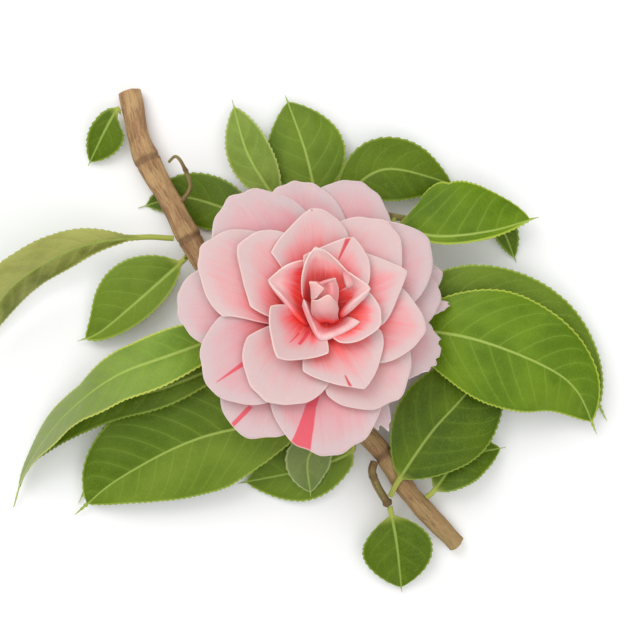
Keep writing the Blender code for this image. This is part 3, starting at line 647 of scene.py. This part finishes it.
def bark_finish(name, young, old, green):
    """Bark with lengthwise fibres, blotches, small pores and darker ring scars."""
    finish, paint = new_finish(name, {"Specular IOR Level": 0.25})
    x, y, run = paint.attribute("bark_place").parts()
    cut, share, scar = paint.attribute("bark_state").parts()
    fibres = paint.vector(x * 1.6, y * 1.6, run * 0.22).noise(1.0, 5, 0.62)
    blotches = paint.vector(x * 0.22, y * 0.22, run * 0.11).noise(1.0, 3)
    cells = paint.vector(x * 0.75, y * 0.75, run * 1.3)
    spots = cells.node("TexVoronoi", {"feature": "F1"}, {"Vector": cells, "Scale": 1.0})
    pores = spots.fall(0.10, 0.24)
    colour = (blotches + (fibres - 0.5) * 0.8).rise(0.30, 0.72).blend(old, young)
    greening = (blotches * 0.7 + share * 0.3 - 0.25).rise(0.0, 0.7) * 0.75
    colour = greening.blend(colour, green)
    colour = (fibres.fall(0.30, 0.46) * 0.45).blend(colour, srgb(84, 62, 46))
    colour = (pores * 0.55).blend(colour, srgb(222, 196, 160))
    colour = (scar.rise(0.3, 0.95) * 0.6).blend(colour, srgb(104, 76, 52))
    colour = cut.rise(0.4, 0.6).blend(colour, srgb(222, 205, 160))
    relief = fibres + pores * 0.5
    return dress(finish, colour, fibres * 0.2 + 0.62, relief, 0.28)


# ---- leaves

def leaf_half_width(distance, petiole, length, width, middle):
    """Half the leaf's width at a distance from its seat: a stalk, then a pointed oval blade."""
    share = np.clip((distance - petiole) / (length - petiole), 0, 1)
    oval = np.sin(pi * np.clip(share / DRIP_TIP, 0, 1) ** middle) ** 0.8
    tip = TIP_WIDTH * (1 - share) ** 0.5
    stalk = PETIOLE_WIDTH / 2 * (1 - share) ** 0.5
    return np.maximum(width * np.maximum(oval, tip), stalk * (share < 0.5))


def vein_count(run, reach, margin, right):
    """Counts the side veins along a blade: the count is whole on each vein, for grid or shader."""
    hook = VEIN_HOOK / (1 + margin * margin * (1 / VEIN_HOOK_REACH))
    ahead = run - VEIN_SLANT * reach - VEIN_SWEEP * reach * reach - hook
    return ahead / VEIN_PITCH + 0.5 * right


def leaf_object(name, leaf, finish, dice):
    """A toothed blade with a grooved midrib, sunk side veins and a round stalk."""
    seat = seat_on(*leaf["bearer"], leaf["midrib"][0], PETIOLE_WIDTH / 2)
    line = smooth_path([seat, *leaf["midrib"]], MIDRIB_POINTS)
    run = run_along(line)
    length = run[-1]
    petiole = np.linalg.norm(np.array(leaf["midrib"][0]) - seat)
    distance = np.linspace(0, length, int(length * LEAF_ROWS_PER_MM))[:, None]
    across = np.sin(pi / 2 * np.linspace(-1, 1, LEAF_COLUMNS))[None, :]

    spot = distance[:, 0]
    middle = follow(line, run, spot)
    turns = np.gradient(line, axis=0)
    heading = unit(sum(follow(turns, run, spot + shift) for shift in HEADING_SPAN))
    level = unit(np.cross(heading, (0, 0, 1)))
    upright = np.cross(level, heading)
    along = np.interp(spot, (0, petiole, length), (0, STALK_SHARE, 1))
    rolls = leaf.get("roll", (0, 0))
    roll = np.radians(np.interp(along, np.linspace(0, 1, len(rolls)), rolls))[:, None]
    side = level * np.cos(roll) + upright * np.sin(roll)
    face = upright * np.cos(roll) - level * np.sin(roll)

    width = np.where(across < 0, *leaf["width"])
    half = leaf_half_width(distance, petiole, length, width, leaf.get("middle", BLADE_MIDDLE))
    trims = [np.interp(distance / length, np.linspace(0, 1, len(trim)), trim)
             for trim in leaf.get("trim", ((1, 1), (1, 1)))]
    half = np.maximum(half * np.where(across < 0, *trims), LEAST_HALF_WIDTH)
    blade = soft_step(distance, petiole * 0.7, petiole + BLADE_OPENS)
    tip = soft_step(length - distance, 0, TIP_CALM)
    tooth = (distance / TOOTH_PITCH + dice.uniform(0, 1)) % 1 * blade * tip
    reach = half * np.abs(across) + TOOTH_DEPTH * tooth * np.abs(across) ** TOOTH_HUG
    margin = np.minimum(half * (1 - np.abs(across)), (length - distance) * 0.5)
    count = vein_count(distance - petiole, reach, margin, across > 0)
    away = np.abs(count - np.round(count)) * VEIN_PITCH
    inner = blade * (1 - np.exp(-margin / VEIN_END))
    veins = np.exp(-(away / VEIN_WIDTH) ** 2) * inner
    quilt = QUILTING * (0.5 - 0.5 * np.cos(2 * pi * count)) * inner * (1 - np.exp(-reach / 1.5))
    midrib = np.exp(-(reach / MIDRIB_WIDTH) ** 2) * blade * (1.15 - distance / length)
    waving = np.where(across < 0, ripples(dice, *MARGIN_WAVES)(distance),
                      ripples(dice, *MARGIN_WAVES)(distance))
    fold = radians(leaf["fold"])
    lift = (reach * sin(fold) - reach ** 2 * BLADE_ARCH + quilt - VEIN_GROOVE * veins
            - MIDRIB_GROOVE * midrib + MARGIN_WAVE * waving * across ** 2 * blade * tip)
    sheet = (middle[:, None] + side[:, None] * (np.sign(across) * reach * cos(fold))[..., None]
             + face[:, None] * lift[..., None])
    out = normals_of(sheet)
    stalk = (1 - blade) * np.sqrt(1 - across ** 2) * PETIOLE_WIDTH / 2
    thick = LEAF_SKIN * soft_step(margin, -0.4, 0.7) + VEIN_KEEL * veins + MIDRIB_KEEL * midrib
    top = sheet + out * (stalk * 0.8)[..., None]
    under = sheet - out * (thick * blade + stalk + 0.06)[..., None]

    shape = reach.shape
    place = triples(shape, np.sign(across) * reach, distance - petiole, margin)
    sides = [triples(shape, lower, 1 - blade, distance / length) for lower in (0, 1)]
    facts = {"leaf_place": (place, place), "leaf_side": sides}
    return skin_object(name + "_blade", top, under, facts, finish)


# Greens of the upper face between the veins: the deeper and the lighter patches, and the margin,
# and how strongly the side veins show
GREENS = {
    "bright": (srgb(76, 106, 2), srgb(112, 142, 22), srgb(180, 196, 74), 0.30),
    "soft": (srgb(90, 124, 16), srgb(132, 162, 52), srgb(200, 208, 90), 0.30),
    "mid": (srgb(80, 106, 8), srgb(112, 136, 36), srgb(158, 178, 72), 0.24),
    "dark": (srgb(66, 90, 2), srgb(94, 118, 14), srgb(140, 160, 60), 0.12),
    "pale": (srgb(104, 128, 40), srgb(140, 160, 72), srgb(174, 188, 104), 0.26),
    "grey": (srgb(96, 116, 54), srgb(126, 142, 82), srgb(172, 184, 120), 0.24),
    # the olive's lighter green is a painted sheen, which shows most on the half of that leaf
    # turned to the light
    "olive": (srgb(92, 102, 22), srgb(184, 186, 104), srgb(186, 190, 100), 0.16),
}
MIDRIB_GREEN = srgb(170, 192, 92)
VEIN_GREEN = srgb(138, 170, 66)
UNDER_GREEN = srgb(132, 156, 94)
TIP_GREY_GREEN = srgb(146, 158, 104)
STALK_GREEN = srgb(164, 172, 78)


def leaf_finish(name, leaf, seed):
    """Waxy green with a pale midrib, looping side veins, a net of veinlets and a pale edge."""
    deep, light, rim, vein_strength = GREENS[leaf["green"]]
    left_sheen_and_shade, right_sheen_and_shade = leaf.get("tones", (0, 0))
    finish, paint = new_finish(name, {"Specular IOR Level": 0.16})
    lateral, run, margin = paint.attribute("leaf_place").parts()
    under, stalk, share = paint.attribute("leaf_side").parts()
    reach = lateral.size()
    count = vein_count(run, reach, margin, lateral > 0)
    away = ((count + 0.5).math("FRACT", count + 0.5) - 0.5).size() * VEIN_PITCH
    inner = margin.rise(0.5, 2.6) * (1 - stalk)
    veins = away.fall(0.05, 0.55) * inner * (share.fall(0.55, 1.0) * 0.5 + 0.5)
    halo = away.fall(0.2, 2.2) * inner
    midrib = (reach + share * 0.35).fall(0.30, 0.75)
    cells = paint.vector(lateral, run, seed)
    net = cells.node("TexVoronoi", {"feature": "DISTANCE_TO_EDGE"},
                     {"Vector": cells, "Scale": 0.85}, output="Distance").fall(0.0, 0.09)
    cloud = paint.vector(lateral * 0.09, run * 0.06, seed).noise(1.0, 3)
    speckle = paint.vector(lateral, run, seed).noise(2.2, 2)
    mottle = (cloud + (speckle - 0.5) * 0.35).rise(0.28, 0.72)
    # painted light: each half of the blade is lightened by a painted sheen or darkened by painted
    # shade
    tone = (lateral > 0) * (right_sheen_and_shade - left_sheen_and_shade) + left_sheen_and_shade
    upper = (mottle * 0.7 + 0.15 + tone).blend(deep, light)
    # greys the upper face towards the tip
    upper = (share.rise(0.20, 0.85) * leaf.get("dusty", 0)).blend(upper, TIP_GREY_GREEN)
    upper = (halo * 0.22).blend(upper, light)
    upper = (net * inner * 0.14).blend(upper, VEIN_GREEN)
    upper = (veins * vein_strength).blend(upper, VEIN_GREEN)
    upper = (margin.fall(0.15, 0.70) * 0.75).blend(upper, rim)
    upper = (midrib * (vein_strength + 0.5)).blend(upper, MIDRIB_GREEN)
    lower = (mottle * 0.35).blend(UNDER_GREEN, srgb(160, 180, 120))
    lower = (veins * 0.6 + midrib).rise(0.0, 1.2).blend(lower, srgb(186, 198, 138))
    colour = under.blend(upper, lower)
    colour = stalk.blend(colour, STALK_GREEN)
    roughness = 0.36 + speckle * 0.10 + under * 0.22
    relief = speckle * 0.4 - net * inner * 0.5 - veins * 0.6
    return dress(finish, colour, roughness, relief, 0.09)


# ---- petals

def petal_points(petal, across, along, uneven):
    """Places on a petal in the bloom's own frame: across from -1 to 1, along from foot to tip."""
    azimuth, reach, height, width, pointed, lean = petal
    foot = np.array([2.0 + 3.5 * (1 - height / BUD_HEIGHT), 7.0 * height / BUD_HEIGHT])
    tip = np.array([reach, height])
    foot_pitch = radians(np.interp(height, PETAL_HEIGHTS, FOOT_PITCH))
    tip_pitch = radians(np.interp(height, PETAL_HEIGHTS, TIP_PITCH))
    chord = np.linalg.norm(tip - foot)
    rising = foot + PETAL_RISE * chord * np.array([cos(foot_pitch), sin(foot_pitch)])
    arching = tip - PETAL_ARCH * chord * np.array([cos(tip_pitch), sin(tip_pitch)])
    share = np.linspace(0, 1, 121)[:, None]
    line = ((1 - share) ** 3 * foot + 3 * (1 - share) ** 2 * share * rising
            + 3 * (1 - share) * share ** 2 * arching + share ** 3 * tip)
    run = run_along(line)
    slope = np.arctan2(*np.gradient(line, axis=0).T[::-1])

    round_end = 1 - np.sqrt(1 - across ** 2)
    straight_end = np.abs(across) ** 1.15
    pointed = np.where(across > 0, *np.broadcast_to(pointed, 2))
    cap = PETAL_CAP * ((1 - pointed) * round_end + pointed * straight_end)
    distance = run[-1] * (along - cap * along ** 2) * (1 + uneven * along ** 3)
    spread = np.sin(pi / 2 * along ** FOOT_SPREADS.get(azimuth, FOOT_SPREAD))
    half = PETAL_FOOT_WIDTH / 2 + (width - PETAL_FOOT_WIDTH) / 2 * spread
    sideways = across * half + lean * along ** 2

    past = np.maximum(distance - run[-1], 0)  # an uneven margin runs on past the tip
    radius = np.interp(distance, run, line[:, 0]) + past * cos(slope[-1])
    level = np.interp(distance, run, line[:, 1]) + past * sin(slope[-1])
    pitch = np.interp(distance, run, slope)
    bend = np.sin(pitch) / np.maximum(radius, NARROWEST_WRAP) + LEAST_BEND
    lateral = np.sin(bend * sideways) / bend
    lift = (1 - np.cos(bend * sideways)) / bend
    outward = radius - lift * np.sin(pitch)
    upward = level + lift * np.cos(pitch)
    turn = radians(azimuth)
    return np.stack([outward * cos(turn) - lateral * sin(turn),
                     outward * sin(turn) + lateral * cos(turn), upward], axis=-1)


def bloom_to_branch(places):
    """Turns places from the bloom's own frame, with its axis up, to where it faces."""
    x, y, z = Vector((-sin(BLOOM_TILT_TOWARDS), cos(BLOOM_TILT_TOWARDS), 0))
    cross = np.array([[0, -z, y], [z, 0, -x], [-y, x, 0]])
    turn = np.eye(3) + sin(BLOOM_TILT) * cross + (1 - cos(BLOOM_TILT)) * cross @ cross
    return places @ turn.T + BLOOM_FOOT


def around_axis(radius, turn, height):
    x = radius * np.cos(turn)
    return triples(x.shape, x, radius * np.sin(turn), height)


def distance_to_margin(sheet):
    """Distance of every place of a grid from the grid's sides and its last row."""
    edge = np.vstack([sheet[:, 0], sheet[-1], sheet[:, -1]])
    return np.linalg.norm(sheet[:, :, None] - edge, axis=-1).min(axis=-1)


def shares(rows, columns):
    """A petal's grid: along from 0 at its foot to 1, and across from 1 on its left to -1."""
    across = np.sin(pi / 2 * np.linspace(1, -1, columns))
    return np.linspace(0, 1, rows)[:, None], across[None, :]


def petal_skin(name, sheet, across, along, skin, finish, under=None):
    """A closed skin about a sheet, thinner at its margin, or from a sheet down to an underside."""
    margin = distance_to_margin(sheet)
    place = triples(margin.shape, across, along, margin)
    top = sheet
    if under is None:
        thickness, least, growth = skin
        share = least + (1 - least) * np.sqrt(np.clip(margin / growth, 0, 1))
        out = normals_of(sheet) * (thickness / 2 * share)[..., None]
        top, under = sheet + out, sheet - out
    return skin_object(name, top, under, {"petal_place": (place, place)}, finish)


def petal_object(name, petal, finish, dice):
    """A thin cupped petal with a waving, slightly uneven margin."""
    azimuth, reach = petal[:2]
    along, across = shares(PETAL_ROWS, PETAL_COLUMNS)
    uneven = PETAL_UNEVEN * ripples(dice, *OUTLINE_WAVES)(across)
    torn = ripples(np.random.default_rng(azimuth), *FRAYED_WAVES)
    uneven += FRAYED.get(azimuth, 0) * torn(across)
    sheet = petal_points(petal, across, along, uneven)
    waves = ripples(dice, *RUFFLE_ACROSS)(across) * along ** 3
    waves += SIDE_RUFFLE * ripples(dice, *RUFFLE_ALONG)(along) * across ** 2
    ruffle = PETAL_RUFFLE * np.clip(reach / 40, 0.25, 1) * waves
    sheet = bloom_to_branch(sheet + normals_of(sheet) * ruffle[..., None])
    return petal_skin(name, sheet, across, along, PETAL_SKIN, finish)


def patch(rows, tall, wide):
    """A smooth grid of places through rows of a few places."""
    across = np.array([smooth_path(row, wide) for row in rows])
    return np.stack([smooth_path(column, tall) for column in across.transpose(1, 0, 2)], axis=1)


def heart_object(name, rows, finish):
    """A folded petal of the heart. The bud's body is closed down to the core under it."""
    sheet = patch(rows, HEART_ROWS, HEART_COLUMNS)
    along = np.linspace(0, 1, HEART_ROWS)[:, None]
    across = np.linspace(1, -1, HEART_COLUMNS)[None, :]
    under = None
    if name == "bud_body":
        centre = sheet.mean(axis=(0, 1))
        under = centre + (sheet - centre) * BUD_FLOOR_SHARE
        under[..., 2] = BUD_FLOOR
    return petal_skin(name, sheet, across, along, PETAL_SKIN, finish, under)


PETAL_EDGE = srgb(244, 214, 206)

# How far up a petal its pink and its coral reach, by how far out its tip lies: the shares of its
# length where each starts to fade and where it is gone
FLUSH_REACHES = (5, 15, 22, 32, 45)
CORAL_FADES = (0.55, 0.38, 0.32, 0.22, 0.14)
CORAL_GONE = (0.95, 0.66, 0.68, 0.70, 0.66)
PINK_FADES = (0.6, 0.50, 0.48, 0.46, 0.42)
PINK_GONE = (1.0, 0.86, 0.92, 1.0, 1.08)

STRIPE_RED = srgb(226, 76, 94)
# painted shade: the dark red of the slits on two petals is the shadow in a fold line, over their
# red
FOLD_SHADE_RED = srgb(206, 60, 70)
BLEMISH = srgb(120, 72, 60)

# Stripes on some petals, by the petal's azimuth: where each starts and ends as (across, along),
# its half width at both ends, and its colour
STRIPES = {
    216: [((0.045, 0.63), (0.03, 0.93), (0.058, 0.008), STRIPE_RED)],
    239: [((-0.11, 0.78), (-0.24, 1.02), (0.050, 0.042), STRIPE_RED)],
    277: [((-0.09, 0.48), (-0.33, 0.64), (0.03, 0.11), STRIPE_RED),
          ((-0.32, 0.62), (-0.58, 1.03), (0.10, 0.165), STRIPE_RED)],
    231: [((0.075, 0.46), (0.018, 0.71), (0.034, 0.008), STRIPE_RED),
          ((0.345, 0.34), (0.25, 0.67), (0.075, 0.045), STRIPE_RED)],
    # the next two stripes are painted shade in fold lines
    298: [((-0.21, 0.83), (-0.23, 1.01), (0.016, 0.036), FOLD_SHADE_RED)],
    62: [((0.09, 0.70), (0.12, 1.02), (0.020, 0.070), FOLD_SHADE_RED)],
    90: [((-0.01, 0.975), (-0.01, 1.02), (0.012, 0.012), BLEMISH)],
}

# How much further up some petals the flush reaches, by the petal's azimuth
# the negative share on the petal at 241 is painted light: it keeps that petal paler where petal
# 231 shades it
DEEPER = {345: 0.29, 348: 0.16, 22: 0.1, 90: 0.07, 298: 0.08, 241: -0.12, 62: 0.08}


def petal_flush(reach, deeper=0):
    """The flush of a petal whose tip lies that far from the bloom's axis."""
    return [np.interp(reach, FLUSH_REACHES, shares) + deeper
            for shares in (CORAL_FADES, CORAL_GONE, PINK_FADES, PINK_GONE)]


def petal_finish(name, paints, flush, stripes, seed):
    """Satin pink that deepens to coral at the foot in fine rays, with a pale crisp margin."""
    finish, paint = new_finish(name, {"Specular IOR Level": 0.3, "Subsurface Weight": 0.25,
                                      "Subsurface Radius": (1.0, 0.32, 0.28),
                                      "Subsurface Scale": 2.5 * MM})
    across, along, margin = paint.attribute("petal_place").parts()
    rays = paint.vector(across * 7, along * 0.8, seed).noise(1.0, 4, 0.6)
    veins = paint.vector(across * 30, along * 1.5, seed + 3.7).noise(1.0, 3, 0.55)
    cloud = paint.vector(across * 1.5, along * 2.5, seed + 7.1).noise(1.0, 3)
    depth = along + (rays - 0.5) * 0.30 + (veins - 0.5) * 0.16 + margin.fall(0.3, 5.0) * 0.20
    colour = (depth + (cloud - 0.5) * 0.4).fall(*flush[2:]).blend(paints[0], paints[1])
    colour = depth.fall(*flush[:2]).blend(colour, paints[2])
    streaks = veins.rise(0.50, 0.70) * along.fall(0.45, 1.15) * margin.rise(0.4, 3.0)
    colour = (streaks * 0.58).blend(colour, paints[1])
    for stripe in stripes:
        (across_0, along_0), (across_1, along_1), (wide_0, wide_1), ink = stripe
        share = (along - along_0) / (along_1 - along_0)
        away = (across - across_0 - share * (across_1 - across_0)).size() + (veins - 0.5) * 0.02
        width = share * (wide_1 - wide_0) + wide_0
        ends = share.rise(-0.02, 0.04) * share.fall(0.97, 1.02)
        colour = ((width - away).rise(-0.012, 0.012) * ends * 0.9).blend(colour, ink)
    edge = margin.fall(0.10, 0.60) * depth.rise(*flush[:2])
    colour = (edge * 0.65).blend(colour, PETAL_EDGE)
    relief = veins + rays * 0.5
    return dress(finish, colour, veins * 0.1 + 0.5, relief, 0.12)


# ---- calyx

# Each whorl: count, first azimuth, width and midline as (radius, height)
SEPAL_WHORLS = [
    (5, 10, 8.4, [(1.9, -6.6), (4.3, -5.9), (6.5, -4.0), (7.6, -2.4)]),
    (5, 46, 9.6, [(2.2, -6.2), (4.6, -5.2), (6.9, -3.0), (8.6, -1.0), (9.6, -0.7)]),
]
SEPAL_ROWS = 22
SEPAL_COLUMNS = 19
SEPAL_CAP = 0.34  # share of a sepal's length taken by its rounded end
SEPAL_RUFFLE = 0.12
SEPAL_WAVES = (3, 2, 6)


def sepal_object(name, azimuth, width, midline, finish, dice):
    """A broad blunt scale that cups the underside of the bloom."""
    along, across = shares(SEPAL_ROWS, SEPAL_COLUMNS)
    line = smooth_path([(radius, 0, height) for radius, height in midline], 60)
    run = run_along(line)
    distance = run[-1] * (along - SEPAL_CAP * (1 - np.sqrt(1 - across ** 2)) * along ** 2)
    radius = np.interp(distance, run, line[:, 0])
    height = np.interp(distance, run, line[:, 2])
    height += SEPAL_RUFFLE * ripples(dice, *SEPAL_WAVES)(across) * along
    sideways = across * width / 2 * np.sin(pi * (0.22 + 0.45 * along)) ** 0.7
    turn = radians(azimuth) + sideways / np.maximum(radius, 3.2)
    sheet = bloom_to_branch(around_axis(radius, turn, height))
    return petal_skin(name, sheet, across, along, SEPAL_SKIN, finish)


def calyx_finish():
    """Green scales that brown towards their blunt margins."""
    finish, paint = new_finish("calyx_scale", {"Specular IOR Level": 0.3})
    across, along, margin = paint.attribute("petal_place").parts()
    rays = paint.vector(across * 9, along * 1.2, 4.2).noise(1.0, 4)
    fading = (along + (rays - 0.5) * 0.6).rise(0.2, 0.9)
    colour = fading.blend(srgb(126, 140, 62), srgb(154, 160, 92))
    colour = (margin.fall(0.2, 1.4) * 0.7).blend(colour, srgb(142, 108, 66))
    return dress(finish, colour, rays * 0.15 + 0.45, rays, 0.10)


def turned_object(name, profile, finish):
    """A solid turned about the bloom's axis from (radius, height) pairs, top to bottom."""
    outline = smooth_path([(radius, 0, height) for radius, height in profile[1:-1]], 40)[::-1]
    turn = np.linspace(0, 2 * pi, TURNED_SIDES, endpoint=False)[None, :]
    rings = around_axis(outline[:, :1], turn, outline[:, 2:])
    ends = np.array([(0, 0, profile[-1][1]), (0, 0, profile[0][1])])
    state = np.zeros_like(rings)
    return tube_object(name, bloom_to_branch(rings), bloom_to_branch(ends), rings, state, finish)


# ---- setting

# Square soft panels that face the bloom: azimuth and elevation in degrees, distance and size in
# metres, and power in watts
LIGHTS = {
    "sky": (90, 88, 2.4, 3.0, 34),
    "key": (125, 50, 1.6, 1.0, 9),
    "fill": (300, 40, 1.7, 1.2, 4),
}

SENSOR_WIDTH = 36
VIEW_WIDTH = 203.84  # millimetres across the picture ...
VIEW_DISTANCE = 600  # ... at this distance from the eye
EYE_SHIFT = (3.9, -0.2)  # from the ground point
EYE_HEIGHT = 630


def add_light(name, azimuth, elevation, distance, size, power):
    lamp = bpy.data.lights.new(name, "AREA")
    lamp.shape = "SQUARE"
    lamp.size = size
    lamp.energy = power
    panel = bpy.data.objects.new(name, lamp)
    level = distance * cos(radians(elevation))
    panel.location = (level * cos(radians(azimuth)), level * sin(radians(azimuth)),
                      distance * sin(radians(elevation)))
    panel.rotation_euler = (-panel.location).to_track_quat("-Z", "Y").to_euler()
    bpy.context.scene.collection.objects.link(panel)


def add_camera():
    """Straight above the bloom, with the crown of leaves filling the width of the picture."""
    lens = bpy.data.cameras.new("view")
    lens.sensor_width = SENSOR_WIDTH
    lens.lens = SENSOR_WIDTH * VIEW_DISTANCE / VIEW_WIDTH
    lens.clip_start = 0.01
    lens.clip_end = 50
    eye = bpy.data.objects.new("view", lens)
    eye.location = (GROUND_POINT + (*EYE_SHIFT, EYE_HEIGHT)) * MM
    bpy.context.scene.collection.objects.link(eye)
    bpy.context.scene.camera = eye


def add_table():
    """A wide pale table top that the branch lies on."""
    mesh = bpy.data.meshes.new("table")
    half = 4.0
    mesh.from_pydata([(-half, -half, 0), (half, -half, 0), (half, half, 0), (-half, half, 0)],
                     [], [(0, 1, 2, 3)])
    finish, paint = new_finish("table_white", {"Specular IOR Level": 0.0})
    grain = paint.node("TexCoord", output="Object").noise(40, 2)
    colour = grain.blend(srgb(246, 246, 246), srgb(250, 250, 250))
    dress(finish, colour, grain * 0.05 + 0.9, grain, 0.01)
    add_piece("table", mesh, finish)


def set_the_light():
    scene = bpy.context.scene
    scene.view_settings.view_transform = "Standard"
    world = bpy.data.worlds.new("studio")
    scene.world = world
    world.use_nodes = True
    background = world.node_tree.nodes["Background"]
    background.inputs["Color"].default_value = (1, 1, 1, 1)
    background.inputs["Strength"].default_value = 0.45
    for name, light in LIGHTS.items():
        add_light(name, *light)


def build():
    bark = bark_finish("branch_bark", srgb(198, 160, 114), srgb(152, 114, 80), srgb(136, 122, 72))
    twig_bark = bark_finish("twig_bark", srgb(160, 140, 88), srgb(118, 92, 62), srgb(120, 130, 60))
    for index, name in enumerate(STEMS):
        dice = np.random.default_rng(100 + index)
        if name == "main_stem":
            settle(stem_object(name, bark, MAIN_STEM_SIDES, dice), name)
        else:
            settle(stem_object(name, twig_bark, TWIG_SIDES, dice), name)
    for index, (name, leaf) in enumerate(LEAVES.items()):
        finish = leaf_finish(name + "_green", leaf, index * 11.3)
        settle(leaf_object(name, leaf, finish, np.random.default_rng(200 + index)), name)
    for index, petal in enumerate(PETALS):
        name = f"petal_{index + 1:02d}"
        azimuth, reach = petal[:2]
        flush = petal_flush(reach, DEEPER.get(azimuth, 0))
        paints = OUTER_PAINTS if reach > 42 else MIDDLE_PAINTS
        stripes = STRIPES.get(azimuth, [])
        finish = petal_finish(name + "_pink", paints, flush, stripes, index * 17.9)
        dice = np.random.default_rng(300 + index)
        settle(petal_object(name, petal, finish, dice), "bloom")
    for index, (name, petal) in enumerate(HEART.items()):
        finish = petal_finish(name + "_pink", petal["paints"], petal["flush"], [], index * 9.1)
        settle(heart_object(name, petal["rows"], finish), "bloom")
    core = petal_finish("bud_core_pink", LIT_HEART_PAINTS, petal_flush(5), [], 3.3)
    settle(turned_object("bud_core", BUD_CORE, core), "bloom")
    green = calyx_finish()
    settle(turned_object("calyx_cup", CALYX, green), "calyx")
    for whorl, (count, first, width, midline) in enumerate(SEPAL_WHORLS):
        for index in range(count):
            name = f"sepal_{whorl + 1}_{index + 1}"
            azimuth = first + index * 360 / count
            dice = np.random.default_rng(400 + 10 * whorl + index)
            settle(sepal_object(name, azimuth, width, midline, green, dice), "calyx")


add_camera()
set_the_light()
add_table()
build()
